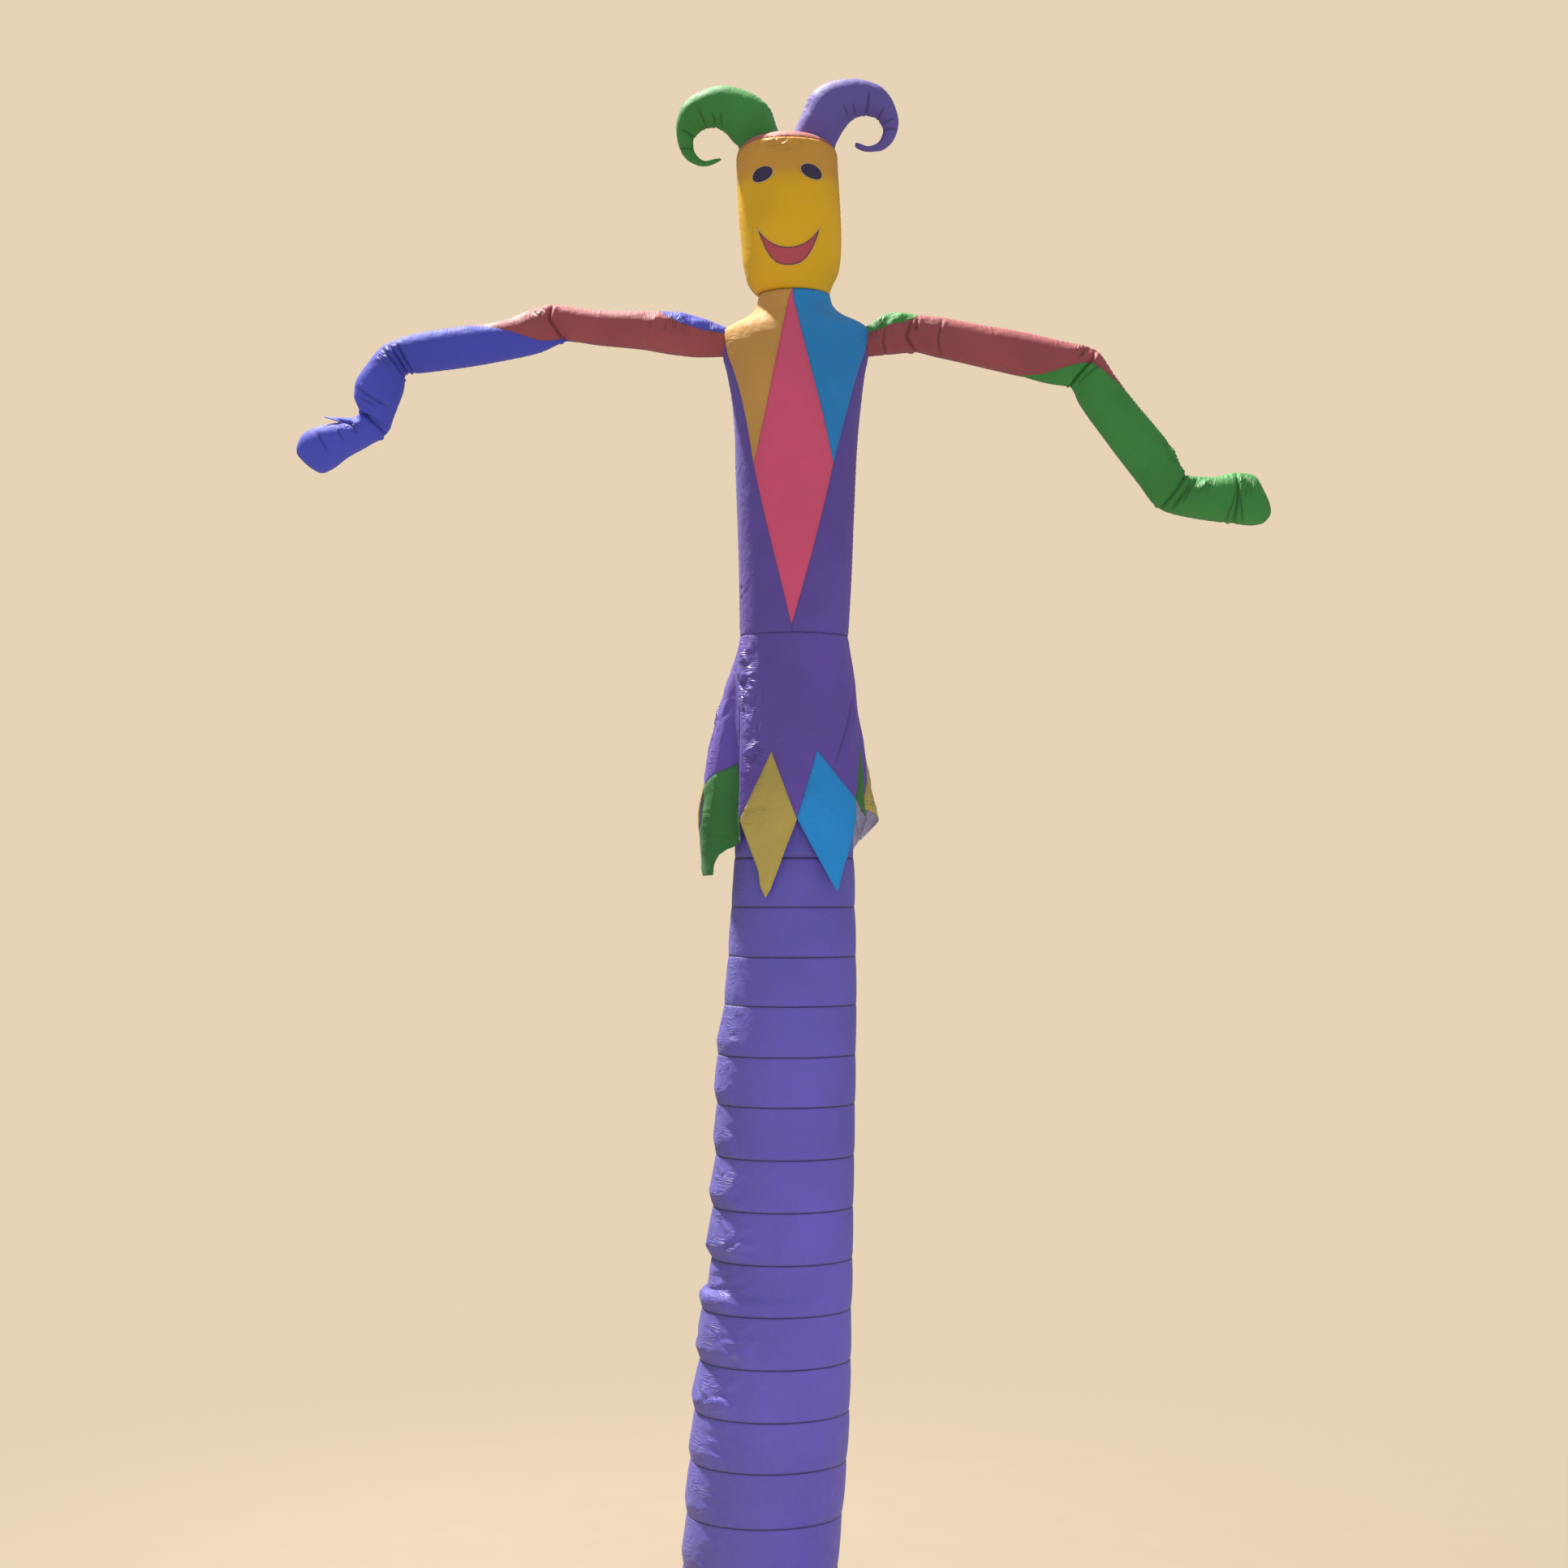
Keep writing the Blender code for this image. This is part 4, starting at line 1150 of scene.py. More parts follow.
@dataclass
class Workshop:
    """Makes the pieces of cloth and puts them on the frame."""

    finishes: dict[str, Nylon]

    def __post_init__(self) -> None:
        """Make the materials."""
        groups = [make() for make in (weather_group, seam_group, weave_group, glint_group,
                                      crinkle_group)]
        self.materials = {key: nylon.build(groups) for key, nylon in self.finishes.items()}

    def sew(self, piece: Piece, cut: Cut, shape: Shape, reliefs: Sequence[Relief],
            pick: Callable[[float, float], int] | None = None, lift: float = 0.0,
            tugs: Sequence[Tug] = ()) -> None:
        """Lay a cut piece of cloth on its body and put it on the frame.

        Args:
            piece: its name, its finishes and what carries it.
            cut: the flat piece.
            shape: the body.
            reliefs: what raises the cloth or presses it in.
            pick: index of a face's material, by its middle's angle and rise.
            lift: extra height above the body.
            tugs: peaks that the cloth is pulled into.
        """
        mesh = cut.flat_mesh()
        flat = np.array([(v.co.x, v.co.y) for v in mesh.verts])
        turn, rise = flat[:, 0] / cut.scale, flat[:, 1]
        place = Place(turn, rise, flat, cut.seams(), cut.scale)
        uv = mesh.loops.layers.uv.new("cloth")
        for face in mesh.faces:
            for loop in face.loops:
                loop[uv].uv = loop.vert.co.xy
            if pick:
                middle = face.calc_center_median()
                face.material_index = pick(middle.x / cut.scale, middle.y)
        height = sum(relief.height(place) for relief in reliefs)
        if {"left", "right"} <= {edge.name for edge in cut.edges}:
            height = height * meeting(place.to_seams(("left", "right"))[0], 0.007)
        height = np.reshape(height + lift, (-1, 1))
        points = shape.at(turn, rise) + normals(shape, turn, rise) * height
        for tug in tugs:
            points = points + tug.move(place)
        self.mark(mesh, place, reliefs)
        for vertex, point in zip(mesh.verts, points):
            vertex.co = point
        bmesh.ops.remove_doubles(mesh, verts=mesh.verts, dist=0.0002)
        self.declare(self.thicken(piece, mesh), piece, cut)

    @staticmethod
    def mark(mesh: bmesh.types.BMesh, place: Place, reliefs: Sequence[Relief]) -> None:
        """Write on each point what the materials read.

        Args:
            mesh: the piece.
            place: where its points lie.
            reliefs: its reliefs.
        """
        names = tuple({seam.name for seam in place.seams if seam.name != "join"})
        edge, along = place.to_seams(names)
        fold, slack = 0 * edge, 0 * edge
        for relief in reliefs:
            if isinstance(relief, Crease):
                fold = np.maximum(fold, relief.line(place))
            if isinstance(relief, Crumple):
                slack = np.maximum(slack, relief.shine * relief.patch(place))
        for name, values in zip(MARKS, (edge, along, fold, slack)):
            layer = mesh.verts.layers.float.new(name)
            for vertex, value in zip(mesh.verts, values):
                vertex[layer] = value

    def thicken(self, piece: Piece, mesh: bmesh.types.BMesh) -> bpy.types.Object:
        """Turn a mesh of the cloth's outer face into an object with both faces.

        Args:
            piece: what the piece is.
            mesh: the outer face of the cloth, which is used up.

        Returns:
            The object.
        """
        data = bpy.data.meshes.new(piece.name)
        mesh.to_mesh(data)
        mesh.free()
        data.shade_smooth()
        for key in piece.finishes:
            data.materials.append(self.materials[key])
        made = bpy.data.objects.new(piece.name, data)
        bpy.context.scene.collection.objects.link(made)
        solid = made.modifiers.new("cloth", "SOLIDIFY")
        solid.thickness = CLOTH
        solid.offset = -1
        # the inner face takes the lining, whose pale colour is partly painted light
        solid.material_offset = int("lining_with_painted_light" in piece.finishes)
        return made

    def declare(self, made: bpy.types.Object, piece: Piece, cut: Cut) -> None:
        """Put an object on the frame in place of its plain solid, and state its cloth.

        Args:
            made: the object.
            piece: what the piece is.
            cut: its flat cut.
        """
        width, length = cut.size()
        area = min(cut.area(), width * length) * piece.wider * piece.flare
        width *= piece.wider
        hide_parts(piece.node or piece.name.replace("_cloth", ""))
        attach(made, "root")
        list(piece.rests_on)
        LOG.info("%s: flat %.3f x %.3f m, %s", made.name, width, length, piece.held.value)


# ---- leg and hip
class LegRow(NamedTuple):
    """A level of the leg. Slack and its angle are those of the band above; one that is no
    seam is a fold inside its band."""

    height: float
    centre: float
    radius: float
    seam: bool
    slack: float
    slack_angle: float


LEG_ROWS = table(
    LegRow,
    (0.000, -0.080, 0.2285, True, 0.5, -72), (0.150, -0.069, 0.2275, True, 0.5, -72),
    (0.301, -0.058, 0.2285, True, 0.5, -70), (0.458, -0.046, 0.2300, True, 0.6, -70),
    (0.603, -0.036, 0.2280, True, 0.9, -60), (0.752, -0.026, 0.2225, True, 1.1, -46),
    (0.902, -0.022, 0.2205, True, 0.9, -62), (0.934, -0.020, 0.2200, False, 0.0, 0),
    (0.966, -0.007, 0.2080, False, 0.0, 0), (1.049, -0.006, 0.2080, True, 1.3, -56),
    (1.200, -0.003, 0.2070, True, 1.0, -66), (1.351, 0.003, 0.2045, True, 0.6, -74),
    (1.503, 0.006, 0.2040, True, 0.6, -74), (1.648, 0.008, 0.2040, True, 0.5, -76),
    (1.795, 0.019, 0.1955, True, 0.2, -80), (1.938, 0.024, 0.1890, True, 0.1, -80),
    (2.084, 0.027, 0.1825, True, 0.1, -80), (2.228, 0.030, 0.1770, True, 0.0, 0),
)
LEG_FOLDS = {
    5: (((-88, 0.700), (-66, 0.668), (-44, 0.636)), ((-32, 0.684), (-60, 0.652))),
    6: (((-46, 0.872), (-40, 0.820), (-26, 0.775)), ((-24, 0.850), (-44, 0.835))),
    7: (((-92, 0.944), (-64, 0.962), (-30, 0.996)), ((-75, 1.000), (-50, 1.012))),
    8: (((-84, 1.180), (-58, 1.165), (-50, 1.120)), ((-52, 1.085), (-34, 1.120))),
    9: (((-84, 1.330), (-60, 1.290), (-52, 1.215)),),
    12: (((-84, 1.770), (-78, 1.715), (-68, 1.690)),),
}


@dataclass
class Leg:
    """The leg of fifteen bands, and the plain tube that carries it up to the waist."""

    workshop: Workshop
    scale: float = 0.00365
    step: Pair = (0.0040, 0.0060)

    def __post_init__(self) -> None:
        """Fit the leg's shape."""
        self.shape = Upright([Ring(row.height, row.centre, row.radius, row.radius)
                              for row in LEG_ROWS])

    def reliefs(self, number: int, low: LegRow, high: LegRow) -> list[Relief]:
        """What shapes one band.

        Args:
            number: the band's number, from the floor.
            low: its lower seam.
            high: its upper seam.

        Returns:
            The reliefs.
        """
        middle = (low.height + high.height) / 2
        slack, angle = low.slack, low.slack_angle
        around_seams = ("bottom", "top")
        folds = [Crease(path, 0.0028, 0.0080, 0.8, 0.0) for path in LEG_FOLDS.get(number, ())]
        return folds + [
            Puff(rise=0.0020, reach=0.022, tuck=0.0008, names=around_seams),
            Puckers(depth=0.0030 * min(1.0, slack + 0.3), pitch=0.012, reach=0.026,
                    names=("top",), seed=number, middle=-68.0, half=34.0, patchiness=0.4),
            Puckers(depth=0.0010, pitch=0.020, reach=0.014, names=around_seams,
                    seed=number + 20, patchiness=1.0),
            Sway(depth=0.0022, size=0.20, seed=20 + number),
            Sag(depth=0.0140 * slack, low=low.height, high=high.height, middle=angle - 10,
                half=36.0, seed=30 + number),
            Crumple(depth=0.0020 * slack, size=0.150, centre=(angle + 4, middle),
                    spread=(24.0, 0.080), seed=40 + number, lean=26.0, shine=0.40),
            Wrinkles(count=round(6 * slack), depth=0.0022 * slack ** 0.5, width=0.0030,
                     length=0.095, centre=(angle, middle), spread=(22.0, 0.07),
                     lean=-22.0 + 14.0 * math.sin(2.1 * number), fan=20.0,
                     seed=60 + number),
            Wrinkles(count=6, depth=0.0010, width=0.0060, length=0.13,
                     centre=(120.0 + 50.0 * math.sin(number), middle), spread=(90.0, 0.07),
                     lean=10.0, fan=45.0, seed=80 + number),
        ]

    def build(self) -> None:
        """Make the bands and the hip tube."""
        seams = [row for row in LEG_ROWS if row.seam]
        for number, (low, high) in enumerate(zip(seams, seams[1:]), start=1):
            below = "leg_cloth_%02d" % (number - 1) if number > 1 else "ground"
            girth = math.pi * (low.radius + high.radius)
            self.workshop.sew(
                Piece("leg_cloth_%02d" % number, ["purple"], [below],
                      wider=girth / (360 * self.scale), node="leg_band_%02d" % number),
                Cut.tube(low.height, high.height, self.scale, self.step), self.shape,
                self.reliefs(number, low, high))
        self.build_hip()

    def build_hip(self) -> None:
        """Make the tube inside the skirt."""
        low, high = LEG_ROWS[-1].height, WAIST - 0.001
        shape = Upright([Ring(low, 0.030, 0.177, 0.177), Ring(high, 0.030, 0.158, 0.158)])
        self.workshop.sew(
            Piece("hip_cloth", ["purple"], ["leg_cloth_15", "skirt_cloth"], node="hip_tube"),
            Cut.tube(low, high, 0.00292, (0.02, 0.02)), shape,
            [Puff(rise=0.001, reach=0.03)])


# ---- skirt
SKIRT_FOLDS = table(
    Fold,
    (-180, -180, 0.246, 1.2), (-150, -153, 0.257, 1.2), (-125, -133, 0.273, 1.3),
    (-102, -118, 0.287, 1.4), (-86, -108, 0.281, 1.4), (-73, -101, 0.256, 1.4),
    (-64, -96, 0.202, 1.1), (-57, -92, 0.195, 1.1), (-50, -88, 0.213, 1.1),
    (-44, -76, 0.212, 1.1), (-38, -64, 0.209, 1.1), (-12, -22, 0.202, 1.1), (12, 8, 0.206, 1.2),
    (36, 32, 0.226, 1.3), (50, 46, 0.239, 1.3), (65, 61, 0.232, 1.5), (74, 71, 0.208, 1.0),
    (88, 84, 0.246, 0.8), (102, 99, 0.256, 0.85), (126, 124, 0.252, 0.9),
    (152, 151, 0.244, 1.1),
)


class Pennant(NamedTuple):
    """A diamond on the hem: its left corner, its top and the places of its free edge."""

    number: int
    colour: str
    left: float
    corner_height: float
    top: float
    top_height: float
    hem: tuple[Spot, ...]
    wider: float


# Depth, size, centre, spread, seed, lean and shine of the crumpled patches.
SKIRT_CRUMPLES = (
    (0.0030, 0.070, (-35, 2.520), (10, 0.08), 71, 20.0, 0.7),
    (0.0075, 0.070, (-44, 2.770), (13, 0.12), 64, 50.0),
    (0.0060, 0.080, (-94, 2.640), (14, 0.17), 69, 75.0),
)
# Count, depth, width, length, centre, spread, lean, fan and seed of the loose folds.
SKIRT_WRINKLES = (
    (22, 0.0040, 0.0045, 0.075, (-41, 2.730), (12, 0.13), -48.0, 50.0, 65),
    (16, 0.0026, 0.0042, 0.055, (-36, 2.510), (11, 0.10), 8.0, 18.0, 70),
    (24, 0.0040, 0.0045, 0.075, (-92, 2.640), (16, 0.15), 70.0, 30.0, 66),
    (26, 0.0016, 0.0055, 0.15, (10, 2.600), (30, 0.05), 4.0, 12.0, 67),
    (60, 0.0018, 0.0055, 0.10, (170, 2.680), (90, 0.14), 75.0, 30.0, 68),
)
PENNANTS = (
    Pennant(6, "green", -188, 2.345, -168, 2.540,
            ((-169.5, 2.128), (-167, 2.116), (-164.5, 2.128), (-142, 2.339)), 1.08),
    Pennant(7, "yellow", -142, 2.345, -117, 2.540,
            ((-129, 2.275), (-120, 2.264), (-111, 2.272), (-84, 2.338)), 1.21),
    Pennant(8, "green", -84, 2.445, -62, 2.512,
            ((-83.5, 2.342), (-88, 2.310), (-89, 2.196), (-84, 2.176), (-73, 2.178),
             (-72, 2.209), (-70, 2.238), (-67, 2.255), (-60, 2.270), (-49, 2.290)), 1.32),
    Pennant(1, "yellow", -49, 2.341, -20, 2.540,
            ((-31, 2.190), (-29.2, 2.142), (-25.5, 2.115), (-24.4, 2.114), (-20, 2.138),
             (2, 2.337)), 0.88),
    Pennant(2, "blue", 2, 2.343, 20, 2.543, ((34.4, 2.132), (35.4, 2.131), (50, 2.350)), 0.96),
    Pennant(3, "green", 50, 2.400, 64, 2.565, ((61, 2.352), (63.5, 2.349), (76, 2.374)), 1.09),
    Pennant(4, "yellow", 76, 2.380, 96, 2.550,
            ((86, 2.364), (95, 2.348), (104, 2.338), (114, 2.318), (126, 2.284)), 1.09),
    Pennant(5, "blue", 126, 2.290, 148, 2.545,
            ((149.5, 2.186), (152, 2.174), (154.5, 2.186), (172, 2.339)), 1.05),
)


@dataclass
class Skirt:
    """The gathered skirt with its zigzag hem, and the pennants sewn into it."""

    workshop: Workshop
    scale: float = 0.0041

    def __post_init__(self) -> None:
        """Fit the skirt's shape."""
        self.shape = Folded(SKIRT_FOLDS)

    def build(self) -> None:
        """Make the skirt and its pennants."""
        first = PENNANTS[0]
        hem = [(first.left, first.corner_height)]
        for pennant, following in zip(PENNANTS, PENNANTS[1:] + (None,)):
            right, height = ((following.left, following.corner_height) if following
                             else (first.left + 360, first.corner_height))
            hem += [(pennant.top, pennant.top_height), (right, height)]
            self.build_pennant(pennant, (right, height))
        corners = hem + [(first.left + 360, WAIST), (first.left, WAIST)]
        names = ["hem"] * (len(hem) - 1) + ["right", "top", "left"]
        cut = Cut(outline(corners, names), self.scale, (0.0048, 0.0055))
        reliefs = [
            Puff(rise=0.0015, reach=0.02, names=("hem", "top")),
            Puckers(depth=0.0022, pitch=0.015, reach=0.045, names=("top",), seed=61,
                    patchiness=1.0),
            Puckers(depth=0.0012, pitch=0.018, reach=0.016, names=("hem",), seed=62),
            Sway(depth=0.004, size=0.13, seed=63),
            *table(Crumple, *SKIRT_CRUMPLES),
            *table(Wrinkles, *SKIRT_WRINKLES),
            Crease(((-56, 2.870), (-58, 2.760), (-57, 2.610), (-55, 2.500)), 0.009, 0.0060,
                   0.2),
            Crease(((62, 2.700), (47, 2.600), (34, 2.500)), 0.006, 0.012, 0.9),
        ]
        self.workshop.sew(
            Piece("skirt_cloth", ["violet", "lining_with_painted_light"], ["hip_cloth", *DRESS_SIDES],
                  Held.GATHERED, flare=0.88), cut, self.shape, reliefs)

    def build_pennant(self, pennant: Pennant, right: Spot) -> None:
        """Make one pennant.

        Args:
            pennant: its row.
            right: its right corner.
        """
        corners = [(pennant.top, pennant.top_height), (pennant.left, pennant.corner_height),
                   *pennant.hem, right]
        names = ["seam"] + ["hem"] * (len(pennant.hem) + 1) + ["seam"]
        cut = Cut(outline(corners, names, hems=("hem",)), self.scale, (0.0048, 0.0048))
        middle = ((pennant.left + right[0]) / 2, pennant.top_height - 0.18)
        reliefs = [
            Puff(rise=0.0015, reach=0.02, names=("seam",)),
            Puckers(depth=0.0012, pitch=0.018, reach=0.016, names=("seam",),
                    seed=70 + pennant.number),
            Sway(depth=0.006, size=0.10, seed=80 + pennant.number),
            Wrinkles(count=16, depth=0.0016, width=0.0045, length=0.09, centre=middle,
                     spread=(16, 0.12), lean=8.0, fan=25.0, seed=90 + pennant.number),
            Crumple(depth=0.0030, size=0.090, centre=(middle[0] - 12, middle[1] + 0.05),
                    spread=(12, 0.09), seed=170 + pennant.number, lean=12.0,
                    shine=0.55 if pennant.colour == "yellow" else 0.15),
        ]
        finish = {"yellow": "lemon", "blue": "blue", "green": "green"}[pennant.colour]
        self.workshop.sew(
            Piece("pennant_cloth_%02d_%s" % (pennant.number, pennant.colour),
                  [finish, "lining_with_painted_light"], ["skirt_cloth"], Held.HUNG, pennant.wider),
            cut, self.shape, reliefs)


# ---- dress
TORSO_RINGS = table(
    Ring,
    (2.890, 0.030, 0.161, 0.161), (3.100, 0.034, 0.168, 0.167), (3.390, 0.035, 0.179, 0.175),
    (3.490, 0.037, 0.183, 0.178), (3.590, 0.038, 0.192, 0.178), (3.685, 0.036, 0.206, 0.172),
    (3.734, 0.035, 0.217, 0.167), (3.778, 0.036, 0.221, 0.162), (3.804, 0.038, 0.221, 0.151),
    (3.818, 0.040, 0.211, 0.143), (3.832, 0.041, 0.187, 0.133), (3.850, 0.038, 0.150, 0.121),
    (3.869, 0.035, 0.125, 0.112), (3.894, 0.032, 0.111, 0.107), (3.919, 0.031, 0.107, 0.106),
)
# Height, and how far the left and the right edge of a long diamond lie from its middle.
DIAMOND_EDGE = (
    (3.887, 5.6, 0.6), (3.830, 9.2, 3.1), (3.800, 9.6, 6.8), (3.772, 10.7, 9.5),
    (3.747, 12.1, 11.7), (3.695, 16.1, 15.5), (3.618, 22.4, 21.2), (3.518, 30.2, 30.0),
)


@dataclass
class Dress:
    """The harlequin dress: long diamonds, shoulder yokes and sides."""

    workshop: Workshop
    scale: float = 0.0031
    step: Pair = (0.0055, 0.0065)
    corner_angle: float = 41.3
    corner_height: float = 3.390
    foot_height: float = 2.912
    hole_angle: float = 14.0
    hole_rise: float = 0.038

    def __post_init__(self) -> None:
        """Fit the torso's shape."""
        self.shape = Dressed(TORSO_RINGS)

    def hole(self, armhole: float, side: int, way: int) -> list[Spot]:
        """Points of half an armhole's edge.

        Args:
            armhole: angle of its middle.
            side: 1 for the upper half and -1 for the lower.
            way: 1 to run to rising angles, -1 to falling ones.

        Returns:
            Places from its one end to the other.
        """
        points = []
        for share in (-1.0, -0.75, -0.35, 0.0, 0.35, 0.75, 1.0):
            rise = side * self.hole_rise * math.sqrt(1 - share * share)
            points.append((armhole + way * share * self.hole_angle, ARMHOLE_HEIGHT + rise))
        return points

    def diamond_edge(self, turn: float, side: int) -> list[Spot]:
        """Places down an upper edge of a long diamond, from the neck to its side corner.

        Args:
            turn: angle of the diamond's middle.
            side: 1 for its edge at greater angles, -1 for the other.

        Returns:
            The places.
        """
        places = [(turn, NECK)]
        for height, left, right in DIAMOND_EDGE:
            places.append((turn - left if side < 0 else turn + right, height))
        return places + [(turn + side * self.corner_angle, self.corner_height)]

    def build_diamond(self, label: str, turn: float, seed: int) -> None:
        """Make a long diamond.

        Args:
            label: front or back.
            turn: angle of its middle.
            seed: number that fixes its puckers.
        """
        right = self.diamond_edge(turn, 1)
        corners = [*self.diamond_edge(turn, -1), (turn, self.foot_height), *right[:0:-1]]
        cut = Cut(outline(corners), self.scale, self.step)
        reliefs = [
            Puff(rise=0.0015, reach=0.020, tuck=0.0006),
            Puckers(depth=0.0008, pitch=0.016, reach=0.014, seed=seed, patchiness=1.0),
            Sway(depth=0.0025, size=0.18, seed=seed + 1),
            Wrinkles(count=14, depth=0.0012, width=0.0050, length=0.10, centre=(turn, 3.000),
                     spread=(22, 0.09), lean=0.0, fan=14.0, seed=seed + 2),
        ]
        self.workshop.sew(
            Piece("dress_diamond_cloth_" + label, ["magenta"], DRESS_SIDES),
            cut, self.shape, reliefs)

    def build_yoke(self, label: str, turn: float, armhole: float, finish: str,
                   seed: int) -> None:
        """Make a shoulder yoke.

        Args:
            label: where it lies.
            turn: angle of the long diamond beside it.
            armhole: angle of the armhole below it.
            finish: key of its material.
            seed: number that fixes its puckers.
        """
        side = 1 if armhole > turn else -1
        upper = self.hole(armhole, 1, side)[:4]
        corners = [*self.diamond_edge(turn, side), *upper, (armhole, NECK)]
        names = ["diamond"] * (len(DIAMOND_EDGE) + 1)
        names += ["ridge", "hole", "hole", "hole", "shoulder", "neck"]
        cut = Cut(outline(corners, names), self.scale, self.step)
        reliefs = [
            Puff(rise=0.0015, reach=0.018, tuck=0.0006,
                 names=("diamond", "ridge", "shoulder", "neck")),
            Puckers(depth=0.0030, pitch=0.014, reach=0.030, seed=seed, names=("hole",)),
            Puckers(depth=0.0010, pitch=0.016, reach=0.014, seed=seed + 3,
                    names=("diamond", "ridge", "neck"), patchiness=1.0),
            Crumple(depth=0.0040, size=0.080, centre=(armhole - side * 25, 3.78),
                    spread=(20, 0.05), seed=seed + 1, lean=35.0 * side, shine=0.25),
            Wrinkles(count=12, depth=0.0018, width=0.0040, length=0.06,
                     centre=(armhole - side * 22, 3.76), spread=(12, 0.04), lean=60.0 * side,
                     fan=20.0, seed=seed + 4),
            Sway(depth=0.002, size=0.12, seed=seed + 2),
        ]
        self.workshop.sew(
            Piece("yoke_cloth_" + label, [finish],
                  ["dress_side_cloth_" + label.split("_")[1]]), cut, self.shape, reliefs)

    def build_side(self, label: str, armhole: float, seed: int) -> None:
        """Make a purple side.

        Args:
            label: left or right.
            armhole: angle of the armhole above it.
            seed: number that fixes its puckers.
        """
        side = 1 if armhole > 0 else -1
        front, back = TORSO_TURN, TORSO_TURN + side * 180
        corners = [(front, WAIST), (front, self.foot_height),
                   (front + side * self.corner_angle, self.corner_height)]
        corners += self.hole(armhole, -1, side)
        corners += [(back - side * self.corner_angle, self.corner_height),
                    (back, self.foot_height), (back, WAIST)]
        names = ["join", "diamond", "ridge", *["hole"] * 6, "ridge", "diamond", "join",
                 "waist"]
        inner = [Seam("side", (armhole, WAIST), (armhole, ARMHOLE_HEIGHT - self.hole_rise))]
        cut = Cut(outline(corners, names), self.scale, self.step, inner)
        reliefs = [
            Puff(rise=0.0015, reach=0.022, tuck=0.0006, names=("diamond", "ridge", "waist")),
            Puckers(depth=0.0020, pitch=0.015, reach=0.032, names=("waist",), seed=seed,
                    patchiness=1.0),
            Puckers(depth=0.0010, pitch=0.018, reach=0.014, names=("diamond", "ridge"),
                    seed=seed + 1, patchiness=1.0),
            Puckers(depth=0.0038, pitch=0.017, reach=0.040, names=("side",), seed=seed + 4,
                    patchiness=0.8),
            Wrinkles(count=22, depth=0.0020, width=0.0040, length=0.07,
                     centre=(armhole - side * 18, 2.99), spread=(16, 0.09), lean=-20.0 * side,
                     fan=30.0, seed=seed + 5),
            Sway(depth=0.0025, size=0.16, seed=seed + 2),
        ]
        self.workshop.sew(
            Piece("dress_side_cloth_" + label, ["violet"], ["skirt_cloth"]),
            cut, self.shape, reliefs)

    def build(self) -> None:
        """Make the eight panels."""
        back = TORSO_TURN + 180
        self.build_diamond("front", TORSO_TURN, 101)
        self.build_diamond("back", back, 104)
        self.build_yoke("front_left", TORSO_TURN, -90, "gold", 107)
        self.build_yoke("front_right", TORSO_TURN, 90, "blue", 111)
        self.build_yoke("back_right", back, 90, "gold", 115)
        self.build_yoke("back_left", back, 270, "blue", 119)
        self.build_side("left", -90, 123)
        self.build_side("right", 90, 127)


# ---- head
HEAD_RINGS = table(
    Ring,
    (3.919, 0.031, 0.107, 0), (3.932, 0.023, 0.115, 0), (3.956, 0.020, 0.127, 0),
    (3.985, 0.023, 0.138, 0), (4.030, 0.023, 0.146, 0), (4.180, 0.016, 0.152, 0),
    (4.330, 0.009, 0.151, 0), (4.350, 0.009, 0.148, 0), (4.362, 0.009, 0.143, 0),
    (4.374, 0.009, 0.131, 0), (4.386, 0.009, 0.109, 0), (4.395, 0.009, 0.080, 0),
    (4.401, 0.009, 0.042, 0), (4.402, 0.009, 0.000, 0),
)
CROWN_SEAM = 4.362


@dataclass
class Dome:
    """The cap, read by the plan: turn is x and rise is y, both in metres."""

    rings: Sequence[Ring]

    def at(self, turn: Array, rise: Array) -> Array:
        """Points over places of the plan; see Shape.at."""
        out = [ring.width for ring in reversed(self.rings)]
        up = [ring.height for ring in reversed(self.rings)]
        height = Smooth(out, up)(np.hypot(turn, rise))
        return np.stack([turn + self.rings[-1].centre, rise, height], axis=1)


@dataclass
class Face:
    """Where an eye is sewn on the head, and its size."""

    angle: float
    height: float
    half_length: float
    half_height: float
    tilt: float


